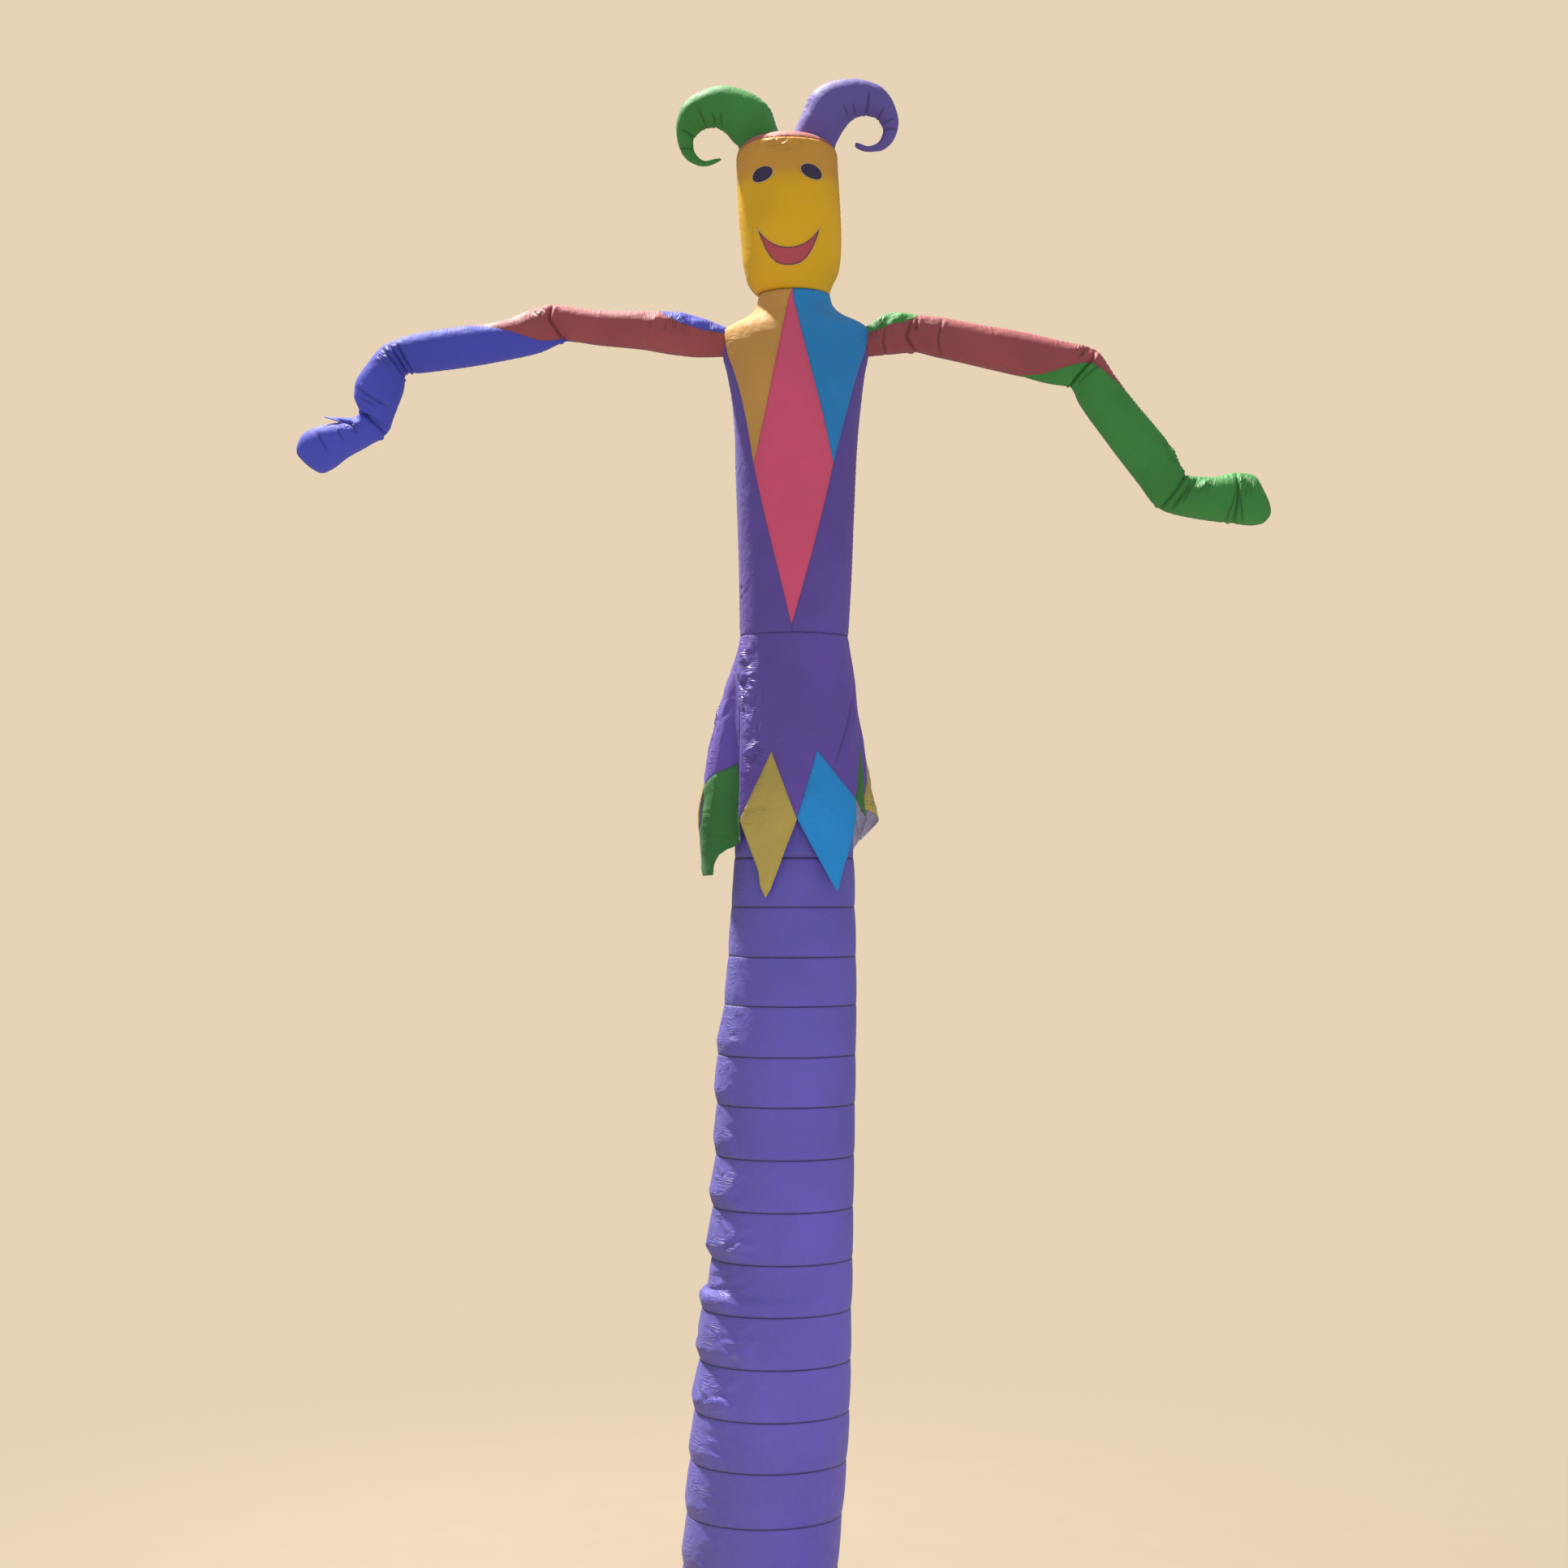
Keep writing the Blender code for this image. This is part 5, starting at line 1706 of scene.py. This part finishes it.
@dataclass
class Head:
    """The head, its cap, the eyes and the mouth."""

    workshop: Workshop
    scale: float = 0.00262
    step: Pair = (0.0045, 0.0055)
    patch_step: Pair = (0.003, 0.003)
    patch_lift: float = 0.0016
    eyes: tuple[tuple[str, Face], ...] = (
        ("left", Face(-30.0, 4.252, 0.037, 0.0235, 14)),
        ("right", Face(27.5, 4.259, 0.037, 0.0235, -14)),
    )
    crown: tuple[Spot, ...] = (
        (-180, 0.0), (-140, 0.0), (-112, 0.014), (-88, 0.021), (-64, 0.014), (-36, 0.0),
        (40, 0.0), (66, 0.008), (90, 0.012), (114, 0.008), (140, 0.0), (180, 0.0),
    )
    mouth_angle: float = -3.6
    mouth_half_angle: float = 38.3
    mouth_tips: float = 4.099
    mouth_lips: tuple[Pair, ...] = ((4.033, 2.2), (3.980, 2.9))
    mouth_least: float = 0.003

    def __post_init__(self) -> None:
        """Fit the head's shape."""
        self.shape = Profiled(HEAD_RINGS)

    def build(self) -> None:
        """Make the head and what is on it."""
        high = self.shape.length_at(CROWN_SEAM)
        inner = [Seam("side", (turn, 0.0), (turn, high)) for turn in (-86, 86)]
        for (turn, drop), (end, next_drop) in zip(self.crown, self.crown[1:]):
            if drop or next_drop:
                inner.append(Seam("crown", (turn, high - drop), (end, high - next_drop)))
        cut = Cut.tube(0.0, high, self.scale, self.step, inner=inner)

        def pick(turn: float, rise: float) -> int:
            """The cap's colour, 1, for a face above the crown's seam, and 0 below it."""
            turns, drops = zip(*self.crown)
            return int(rise > high - float(np.interp(turn, turns, drops)))

        reliefs = [
            Puff(rise=0.0015, reach=0.02, tuck=0.0006, names=("bottom", "top")),
            Puckers(depth=0.0030, pitch=0.012, reach=0.026, names=("top", "crown"),
                    seed=131, patchiness=0.5),
            Puckers(depth=0.0010, pitch=0.016, reach=0.020, names=("bottom",), seed=135),
            Puckers(depth=0.0032, pitch=0.015, reach=0.026, names=("side",), seed=136,
                    patchiness=0.8),
            Crumple(depth=0.0060, size=0.045, centre=(-14, high - 0.020), spread=(34, 0.024),
                    seed=133, lean=10.0, shine=0.5),
            Wrinkles(count=4, depth=0.0012, width=0.0045, length=0.07,
                     centre=(-66, 0.13), spread=(8, 0.05), lean=-25.0, fan=12.0, seed=134),
            Sway(depth=0.0009, size=0.20, seed=132),
        ]
        self.workshop.sew(
            Piece("head_cloth", ["yellow", "coral"],
                  ["dress_diamond_cloth_front", "dress_diamond_cloth_back"]),
            cut, self.shape, reliefs, pick)
        self.build_cap()
        below = Carried(reliefs, cut)
        for label, face in self.eyes:
            self.sew_patch("eye_cloth_" + label, "navy", self.eye_corners(face), below)
        self.sew_patch("mouth_cloth", "rose", self.mouth_corners(), below)

    def build_cap(self) -> None:
        """Make the cap."""
        rings = [ring for ring in HEAD_RINGS if ring.height >= CROWN_SEAM]
        radius = rings[0].width
        corners = [(radius * math.cos(math.radians(angle)),
                    radius * math.sin(math.radians(angle))) for angle in range(0, 360, 15)]
        self.workshop.sew(
            Piece("crown_cloth", ["coral"], ["head_cloth"], node="crown_cap"),
            Cut(outline(corners), 1.0, (0.007, 0.007)), Dome(rings),
            [Puff(rise=0.002, reach=0.012),
             Puckers(depth=0.002, pitch=0.016, reach=0.03, seed=137)])

    def sew_patch(self, name: str, finish: str, corners: Sequence[Spot],
                  below: Carried) -> None:
        """Sew a flat patch on the face.

        Args:
            name: the piece's name.
            finish: key of its material.
            corners: its outline.
            below: relief of the head's cloth.
        """
        cut = Cut(outline(corners), self.scale, self.patch_step)
        self.workshop.sew(Piece(name, [finish], ["head_cloth"]), cut, self.shape, [below],
                          lift=self.patch_lift)

    def eye_corners(self, face: Face, count: int = 28) -> list[Spot]:
        """Outline of an eye.

        Args:
            face: its place and size.
            count: number of its corners.

        Returns:
            The corners.
        """
        tilt = math.radians(face.tilt)
        middle = self.shape.length_at(face.height)
        corners = []
        for i in range(count):
            turn = 2 * math.pi * i / count
            x = face.half_length * math.cos(turn)
            y = face.half_height * math.sin(turn)
            across = x * math.cos(tilt) - y * math.sin(tilt)
            rise = x * math.sin(tilt) + y * math.cos(tilt)
            corners.append((face.angle + across / self.scale, middle + rise))
        return corners

    def mouth_corners(self) -> list[Spot]:
        """Outline of the smile.

        Returns:
            The corners of its lower lip, then those of its top lip on the way back.
        """
        upper, lower = [], []
        for share in np.linspace(-1, 1, 15):
            top, low = (self.mouth_tips - (self.mouth_tips - lip) * (1 - abs(share) ** power)
                        for lip, power in self.mouth_lips)
            angle = self.mouth_angle + float(share) * self.mouth_half_angle
            upper.append((angle, self.shape.length_at(top)))
            low = min(low, top - self.mouth_least)
            lower.append((angle, self.shape.length_at(low)))
        return lower + upper[::-1]


# ---- sleeves and horns
LEFT_SLEEVE = table(
    Section,
    (-0.164, 3.818, -0.176, 3.736, 0.042), (-0.252, 3.852, -0.252, 3.735, 0.055),
    (-0.330, 3.869, -0.330, 3.742, 0.058), (-0.430, 3.870, -0.430, 3.759, 0.056),
    (-0.560, 3.873, -0.556, 3.771, 0.054), (-0.693, 3.891, -0.649, 3.781, 0.048),
    (-0.752, 3.876, -0.736, 3.748, 0.058), (-0.869, 3.836, -0.868, 3.719, 0.058),
    (-0.986, 3.822, -0.985, 3.700, 0.059), (-1.103, 3.803, -1.090, 3.687, 0.058),
    (-1.195, 3.771, -1.136, 3.684, 0.050), (-1.246, 3.717, -1.143, 3.636, 0.058),
    (-1.287, 3.648, -1.162, 3.582, 0.060), (-1.290, 3.616, -1.172, 3.555, 0.056),
    (-1.273, 3.569, -1.188, 3.508, 0.046), (-1.308, 3.540, -1.252, 3.464, 0.050),
    (-1.360, 3.530, -1.310, 3.432, 0.056), (-1.412, 3.517, -1.361, 3.394, 0.058),
    (-1.438, 3.503, -1.3875, 3.384, 0.052), (-1.455, 3.478, -1.420, 3.400, 0.038),
    (-1.461, 3.456, -1.447, 3.424, 0.018), (-1.459, 3.440, -1.459, 3.440, 0.000),
)
RIGHT_SLEEVE = table(
    Section,
    (0.236, 3.818, 0.248, 3.736, 0.042), (0.330, 3.868, 0.330, 3.744, 0.056),
    (0.399, 3.860, 0.394, 3.749, 0.051), (0.468, 3.852, 0.466, 3.734, 0.057),
    (0.586, 3.830, 0.583, 3.707, 0.060), (0.703, 3.810, 0.696, 3.681, 0.062),
    (0.820, 3.783, 0.796, 3.655, 0.062), (0.932, 3.755, 0.860, 3.643, 0.050),
    (0.995, 3.673, 0.887, 3.594, 0.062), (1.053, 3.596, 0.940, 3.518, 0.064),
    (1.111, 3.525, 1.001, 3.435, 0.066), (1.169, 3.449, 1.061, 3.356, 0.066),
    (1.213, 3.374, 1.131, 3.273, 0.054), (1.280, 3.370, 1.238, 3.246, 0.060),
    (1.356, 3.383, 1.350, 3.232, 0.062), (1.404, 3.376, 1.400, 3.227, 0.064),
    (1.436, 3.329, 1.433, 3.232, 0.046), (1.453, 3.293, 1.452, 3.250, 0.022),
    (1.460, 3.271, 1.460, 3.271, 0.000),
)
LEFT_HORN = table(
    Section,
    (-0.004, 4.390, -0.131, 4.350, 0.058), (-0.022, 4.430, -0.140, 4.378, 0.065),
    (-0.040, 4.482, -0.153, 4.389, 0.072), (-0.100, 4.533, -0.179, 4.419, 0.069),
    (-0.186, 4.555, -0.210, 4.434, 0.061), (-0.267, 4.530, -0.240, 4.428, 0.052),
    (-0.313, 4.481, -0.264, 4.409, 0.043), (-0.325, 4.426, -0.274, 4.389, 0.031),
    (-0.316, 4.372, -0.272, 4.364, 0.022), (-0.284, 4.328, -0.259, 4.340, 0.013),
    (-0.242, 4.314, -0.237, 4.328, 0.0075), (-0.194, 4.330, -0.195, 4.336, 0.0030),
    (-0.190, 4.334, -0.190, 4.334, 0.0000),
)
RIGHT_HORN = table(
    Section,
    (0.020, 4.390, 0.149, 4.350, 0.058), (0.037, 4.430, 0.157, 4.382, 0.065),
    (0.056, 4.474, 0.164, 4.397, 0.071), (0.078, 4.525, 0.184, 4.431, 0.070),
    (0.137, 4.565, 0.210, 4.459, 0.063), (0.211, 4.576, 0.240, 4.469, 0.054),
    (0.284, 4.558, 0.272, 4.464, 0.046), (0.330, 4.503, 0.291, 4.444, 0.035),
    (0.345, 4.444, 0.299, 4.422, 0.025), (0.330, 4.394, 0.291, 4.394, 0.019),
    (0.289, 4.362, 0.274, 4.378, 0.011), (0.252, 4.359, 0.252, 4.373, 0.0075),
    (0.220, 4.369, 0.218, 4.383, 0.0060), (0.214, 4.376, 0.214, 4.376, 0.0000),
)


class Nip(NamedTuple):
    """A fold across a limb, by places seen from the front as x and z; see Crease."""

    path: tuple[Spot, ...]
    depth: float
    width: float
    lip: float = 0.5


def nips(limb: Limb, rows: Sequence[Nip]) -> list[Crease]:
    """Folds across a limb, on its front and its back.

    Args:
        limb: the limb.
        rows: the folds.

    Returns:
        The creases.
    """
    made = []
    for path, *form in rows:
        spots = [limb.spot(x, z) for x, z in path]
        for way in (1, -1):
            made.append(Crease(tuple((way * turn, rise) for turn, rise in spots), *form))
    return made


LEFT_SLEEVE_NIPS = table(
    Nip,
    (((-0.690, 3.885), (-0.702, 3.840), (-0.650, 3.778)), 0.011, 0.0050, 0.6),
    (((-0.730, 3.880), (-0.716, 3.862), (-0.728, 3.850)), 0.004, 0.0040),
    (((-0.760, 3.872), (-0.742, 3.858)), 0.004, 0.0040),
    (((-1.179, 3.760), (-1.123, 3.674)), 0.010, 0.0045, 0.7),
    (((-1.200, 3.752), (-1.158, 3.700), (-1.136, 3.668)), 0.006, 0.0040, 0.8),
    (((-1.163, 3.768), (-1.108, 3.680)), 0.006, 0.0040, 0.8),
    (((-1.272, 3.633), (-1.230, 3.600), (-1.188, 3.577)), 0.005, 0.0060),
    (((-1.262, 3.600), (-1.215, 3.575)), 0.004, 0.0050),
    (((-1.267, 3.568), (-1.232, 3.535), (-1.188, 3.493)), 0.014, 0.0070, 0.6),
    (((-1.280, 3.560), (-1.235, 3.548), (-1.196, 3.520)), 0.006, 0.0050),
    (((-1.300, 3.535), (-1.275, 3.495)), 0.004, 0.0070),
    (((-1.340, 3.520), (-1.312, 3.470)), 0.003, 0.0070),
    (((-1.395, 3.500), (-1.360, 3.440)), 0.003, 0.0080),
)
RIGHT_SLEEVE_NIPS = table(
    Nip,
    (((0.301, 3.810), (0.294, 3.771), (0.304, 3.742)), 0.004, 0.0045, 0.4),
    (((0.383, 3.838), (0.366, 3.785), (0.403, 3.744)), 0.009, 0.0050, 0.6),
    (((0.400, 3.840), (0.392, 3.800)), 0.005, 0.0045),
    (((0.475, 3.840), (0.459, 3.778), (0.467, 3.740)), 0.004, 0.0045, 0.4),
    (((0.929, 3.745), (0.920, 3.716), (0.850, 3.633)), 0.012, 0.0050, 0.6),
    (((0.905, 3.750), (0.880, 3.720)), 0.004, 0.0045),
    (((0.945, 3.700), (0.880, 3.650)), 0.003, 0.0060),
    (((1.204, 3.380), (1.165, 3.320), (1.120, 3.269)), 0.008, 0.0060, 0.6),
    (((1.213, 3.345), (1.157, 3.274)), 0.008, 0.0055, 0.6),
    (((1.225, 3.352), (1.190, 3.290)), 0.005, 0.0050),
    (((1.354, 3.376), (1.350, 3.300), (1.343, 3.232)), 0.011, 0.0050, 0.5),
    (((1.345, 3.320), (1.330, 3.270), (1.318, 3.236)), 0.004, 0.0045, 0.3),
    (((1.357, 3.310), (1.362, 3.270), (1.371, 3.236)), 0.004, 0.0045, 0.3),
)


class Slack(NamedTuple):
    """A crumpled patch on the front of a limb, at x and z."""

    x: float
    z: float
    angle: float
    length: float
    depth: float
    lean: float


LEFT_SLEEVE_SLACK = table(
    Slack,
    (-0.735, 3.862, 26, 0.045, 0.0050, 70), (-0.300, 3.830, 40, 0.110, 0.0060, 60),
    (-1.180, 3.730, 40, 0.050, 0.0040, 20), (-1.290, 3.530, 50, 0.050, 0.0050, 40),
)
RIGHT_SLEEVE_SLACK = table(
    Slack,
    (1.165, 3.432, 34, 0.075, 0.0070, 60), (1.240, 3.350, 36, 0.050, 0.0055, 70),
    (0.300, 3.830, 44, 0.070, 0.0060, 60), (0.400, 3.830, 26, 0.040, 0.0050, 75),
    (0.905, 3.745, 26, 0.040, 0.0045, 70), (1.375, 3.340, 30, 0.030, 0.0040, 80),
)


@dataclass
class Sleeve:
    """A sleeve of two colours, with a patch of its second colour on the shoulder."""

    workshop: Workshop
    label: str
    sections: Sequence[Section]
    side: int
    far_finish: str
    change_low: float
    change_top: float
    patch_end: float
    folds: Sequence[Nip]
    slack: Sequence[Slack]
    tug: Point | None = None
    comb_end: float = 1.0
    patch_edge: tuple[Pair, ...] = (
        (0.0, 66.0), (0.3, 78.0), (0.65, 70.0), (0.85, 48.0), (1.0, 0.0),
    )
    step: Pair = (0.0056, 0.0034)

    def slack_reliefs(self, shape: Limb) -> list[Relief]:
        """The crumpled patches, on the front and on the back.

        Args:
            shape: the sleeve's shape.

        Returns:
            The reliefs.
        """
        made: list[Relief] = []
        for number, row in enumerate(self.slack):
            turn, rise = shape.spot(row.x, row.z)
            for way in (1, -1):
                made.append(Crumple(depth=row.depth, size=0.060, centre=(way * turn, rise),
                                    spread=(row.angle, row.length), seed=200 + number,
                                    lean=90 + way * row.lean, shine=0.7))
        return made

    def build(self) -> None:
        """Make the sleeve."""
        shape = Limb(self.sections, self.side)
        scale = shape.girth / 360
        low, top = shape.length_at(self.change_low), shape.length_at(self.change_top)
        patch = shape.length_at(self.patch_end)
        inner = [
            Seam("top", (0, 0), (0, shape.length)),
            Seam("change", (-180, low), (0, top)),
            Seam("change", (180, low), (0, top)),
        ]
        for (share, angle), (end, end_angle) in zip(self.patch_edge, self.patch_edge[1:]):
            for way in (1, -1):
                inner.append(Seam("patch", (way * angle, share * patch),
                                  (way * end_angle, end * patch)))
        cut = Cut.tube(0, shape.length, scale, self.step, ("root", "tip"), ("root", "tip"),
                       inner)
        shares, angles = zip(*self.patch_edge)

        def pick(turn: float, rise: float) -> int:
            """Colour of a face.

            Args:
                turn: angle of its middle.
                rise: length along the sleeve there.

            Returns:
                1 past the change of colour and on the shoulder's patch, 0 elsewhere.
            """
            beyond = rise > top + (low - top) * abs(turn) / 180
            reach = float(np.interp(rise / patch, shares, angles))
            return int(beyond or (rise < patch and abs(turn) < reach))

        reliefs: list[Relief] = [
            Puff(rise=0.0022, reach=0.014, names=("top", "change", "left", "right")),
            Puckers(depth=0.0036, pitch=0.012, reach=0.048, names=("top",), seed=141,
                    patchiness=0.55, fade=(self.comb_end * shape.length,
                                           (self.comb_end + 0.08) * shape.length)),
            Puckers(depth=0.0026, pitch=0.013, reach=0.016, names=("patch",), seed=142,
                    patchiness=0.4),
            Puckers(depth=0.0010, pitch=0.018, reach=0.012, names=("change",), seed=145),
            Puckers(depth=0.0022, pitch=0.020, reach=0.018, names=("left", "right"), seed=143),
            Sway(depth=0.0025, size=0.10, seed=144),
            *nips(shape, self.folds),
            *self.slack_reliefs(shape),
        ]
        tugs = []
        if self.tug:
            x, z, length = self.tug
            tugs.append(Tug(spot=(shape.side * 22, shape.spot(x, z)[1]),
                            pull=(-length, 0.0, 0.014), reach=0.028))
        self.workshop.sew(
            Piece("sleeve_cloth_" + self.label, ["red", self.far_finish],
                  ["dress_side_cloth_" + self.label], wider=1.17),
            cut, shape, reliefs, pick, tugs=tugs)


LEFT_HORN_NIPS = table(
    Nip,
    (((-0.215, 4.459), (-0.208, 4.411)), 0.004, 0.0040),
    (((-0.255, 4.470), (-0.232, 4.425)), 0.003, 0.0040),
    (((-0.308, 4.416), (-0.267, 4.393)), 0.004, 0.0035),
    (((-0.313, 4.361), (-0.273, 4.361)), 0.003, 0.0030),
    (((-0.258, 4.318), (-0.241, 4.301)), 0.002, 0.0025),
    (((-0.190, 4.460), (-0.185, 4.428)), 0.003, 0.0040),
)
RIGHT_HORN_NIPS = table(
    Nip,
    (((0.078, 4.505), (0.070, 4.465)), 0.0035, 0.0035, 0.3),
    (((0.206, 4.490), (0.214, 4.460)), 0.003, 0.0040),
    (((0.258, 4.530), (0.247, 4.460)), 0.004, 0.0040),
    (((0.300, 4.480), (0.283, 4.455)), 0.003, 0.0035),
    (((0.330, 4.450), (0.298, 4.437)), 0.003, 0.0030),
    (((0.338, 4.420), (0.300, 4.418)), 0.003, 0.0030),
    (((0.180, 4.480), (0.192, 4.450)), 0.003, 0.0040),
)


@dataclass
class Horn:
    """A curled horn of two panels, sewn along its outer and its inner edge."""

    workshop: Workshop
    label: str
    sections: Sequence[Section]
    side: int
    finish: str
    folds: Sequence[Nip] = ()
    step: Pair = (0.0038, 0.0027)

    def build(self) -> None:
        """Make the horn."""
        shape = Limb(self.sections, self.side)
        scale = shape.girth / 360
        cut = Cut.tube(0, shape.length, scale, self.step, ("root", "tip"), ("root", "tip"),
                       [Seam("top", (0, 0), (0, shape.length))])
        reliefs: list[Relief] = [
            Puff(rise=0.0020, reach=0.010, names=("top", "left", "right")),
            Puckers(depth=0.0036, pitch=0.011, reach=0.024, names=("top",), seed=151,
                    patchiness=0.35, fade=(0.40 * shape.length, 0.75 * shape.length)),
            Puckers(depth=0.0018, pitch=0.016, reach=0.022, names=("left", "right"),
                    seed=152, patchiness=0.6, fade=(0.55 * shape.length, shape.length)),
            Sway(depth=0.0020, size=0.07, seed=153),
            *nips(shape, self.folds),
        ]
        self.workshop.sew(
            Piece("horn_cloth_" + self.label, [self.finish], ["crown_cloth"], wider=1.19),
            cut, shape, reliefs)


# ---- studio
@dataclass
class Studio:
    """Floor, light and camera."""

    backdrop: Colour = (0.80, 0.65, 0.47)
    soft_light: Colour = (0.70, 0.67, 0.66)
    mirrored: Colour = (0.10, 0.10, 0.10)
    floor_radius: float = 4.0

    def build(self) -> None:
        """Make the studio."""
        self.build_floor()
        self.build_world()
        self.add_area("key", (-7.7, 7.7, 22.1), (0.0, 0.0, 3.0), power=12000.0,
                      colour=(1.0, 0.96, 0.90))
        fill = self.add_area("fill", (1.3, -3.4, 0.85), (0.0, 0.0, 0.55), power=22.0,
                             colour=(1.0, 0.97, 0.95))
        fill.data.spread = math.radians(100)
        fill.visible_glossy = False
        bpy.context.scene.view_settings.view_transform = "Standard"
        self.build_camera()

    def build_floor(self) -> None:
        """Make a pale floor that fades into the backdrop."""
        mesh = bmesh.new()
        bmesh.ops.create_circle(mesh, cap_ends=True, segments=96, radius=self.floor_radius)
        data = bpy.data.meshes.new("floor")
        mesh.to_mesh(data)
        mesh.free()
        material = bpy.data.materials.new("studio floor")
        material.use_nodes = True
        wires = Wiring(material.node_tree)
        spot = wires.add("TexCoord").outputs["Object"]
        distance = wires.add("VectorMath", {0: spot}, operation="LENGTH").outputs["Value"]
        wires.feed(material.node_tree.nodes["Principled BSDF"], {
            "Base Color": wires.mix(wires.noise(spot, 6.0).outputs["Fac"],
                                    opaque(self.backdrop, 0.44), opaque(self.backdrop, 0.41)),
            "Roughness": 0.9,
            "Alpha": wires.ramp(distance, 0.6, self.floor_radius - 0.1, 1.0, 0.0)})
        data.materials.append(material)
        floor = bpy.data.objects.new("floor", data)
        bpy.context.scene.collection.objects.link(floor)

    def build_world(self) -> None:
        """Make the pale backdrop and the soft light from all round."""
        world = bpy.data.worlds.new("studio backdrop")
        world.use_nodes = True
        wires = Wiring(world.node_tree)
        rays = wires.add("LightPath").outputs
        light = wires.mix(rays["Is Glossy Ray"], opaque(self.soft_light), opaque(self.mirrored))
        wires.feed(world.node_tree.nodes["Background"], {
            "Color": wires.mix(rays["Is Camera Ray"], light, opaque(self.backdrop))})
        bpy.context.scene.world = world

    @staticmethod
    def add_area(name: str, place: Point, target: Point, power: float, colour: Colour,
                 size: float = 1.2) -> bpy.types.Object:
        """Add a soft light.

        Args:
            name: the light's name.
            place: where it stands.
            target: where it points.
            power: its power in watts.
            colour: its colour.
            size: side of its square face.

        Returns:
            The light.
        """
        data = bpy.data.lights.new(name, "AREA")
        data.energy, data.size, data.color = power, size, colour
        light = bpy.data.objects.new(name, data)
        light.location = place
        way = Vector(target) - Vector(place)
        light.rotation_euler = way.to_track_quat("-Z", "Y").to_euler()
        bpy.context.scene.collection.objects.link(light)
        return light

    @staticmethod
    def build_camera() -> None:
        """Stand the camera where the whole figure fills the picture."""
        data = bpy.data.cameras.new("camera")
        data.sensor_width = 36.0
        data.lens = 59.63
        camera = bpy.data.objects.new("camera", data)
        camera.location = (0.0, -7.748, 2.15)
        camera.rotation_euler = (math.radians(92.219), 0.0, 0.0)
        bpy.context.scene.collection.objects.link(camera)
        bpy.context.scene.camera = camera


def nylons() -> dict[str, Nylon]:
    """Choose the cloths.

    Returns:
        Each nylon, by its short name.
    """
    pale, dark, wine = (0.60, 0.46, 0.22), (0.030, 0.012, 0.045), (0.090, 0.012, 0.028)
    return {
        "purple": Nylon("purple nylon", "purple_nylon", (0.080, 0.060, 0.410),
                        specular=0.9, ior=1.65, seam_shade=0.75),
        "lilac": Nylon("lilac nylon", "purple_nylon", (0.125, 0.084, 0.430)),
        "violet": Nylon("violet nylon", "purple_nylon", (0.098, 0.047, 0.365)),
        "magenta": Nylon("magenta nylon", "magenta_nylon", (0.690, 0.060, 0.170),
                         crush=0.25),
        "gold": Nylon("gold nylon", "gold_nylon", (0.555, 0.292, 0.064),
                      specular=0.40),
        "blue": Nylon("blue nylon", "blue_nylon", (0.002, 0.230, 0.600), specular=0.5,
                      crush=0.25),
        "yellow": Nylon("yellow nylon", "yellow_nylon", (0.730, 0.415, 0.001),
                        specular=0.40, sheen=0.0, crush=0.12,
                        # painted light: the orange top stands in for light through the coral cap
                        painted_cap_light=(0.590, 0.285, 0.045)),
        "lemon": Nylon("lemon nylon", "lemon_nylon", (0.420, 0.325, 0.055)),
        "coral": Nylon("coral nylon", "coral_nylon", (0.500, 0.120, 0.090)),
        "green": Nylon("green nylon", "green_nylon", (0.018, 0.180, 0.024)),
        "leaf": Nylon("leaf green nylon", "green_nylon", (0.024, 0.285, 0.030)),
        "red": Nylon("red nylon", "red_nylon", (0.360, 0.046, 0.056),
                     specular=1.0, ior=1.55),
        "royal": Nylon("royal blue nylon", "red_nylon", (0.062, 0.074, 0.520),
                       specular=0.35),
        # the coating makes the inside paler; its near-white colour is also painted light,
        # standing in for light through the thin cloth onto the shaded inside
        "lining_with_painted_light": Nylon("coated inside", "purple_nylon", (0.940, 0.890, 0.960),
                        roughness=0.45),
        "navy": Nylon("navy patch", "navy_patch", (0.036, 0.020, 0.095),
                      border=((0.0048, dark), (0.0024, pale))),
        "rose": Nylon("rose patch", "rose_patch", (0.480, 0.050, 0.075),
                      border=((0.0042, wine), (0.0018, pale))),
    }


def main() -> None:
    """Dress the figure and light it."""
    logging.basicConfig(level=logging.INFO, format="%(name)s: %(message)s")
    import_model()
    workshop = Workshop(nylons())
    Leg(workshop).build()
    Skirt(workshop).build()
    Dress(workshop).build()
    Head(workshop).build()
    Sleeve(workshop, "left", LEFT_SLEEVE, -1, "royal", -0.649, -0.955, -0.387,
           LEFT_SLEEVE_NIPS, LEFT_SLEEVE_SLACK, tug=(-1.300, 3.532, 0.085), comb_end=0.60).build()
    Sleeve(workshop, "right", RIGHT_SLEEVE, 1, "leaf", 0.705, 0.985, 0.412,
           RIGHT_SLEEVE_NIPS, RIGHT_SLEEVE_SLACK).build()
    Horn(workshop, "left", LEFT_HORN, -1, "leaf", LEFT_HORN_NIPS).build()
    Horn(workshop, "right", RIGHT_HORN, 1, "lilac", RIGHT_HORN_NIPS).build()
    Studio().build()


if __name__ == "__main__":
    main()
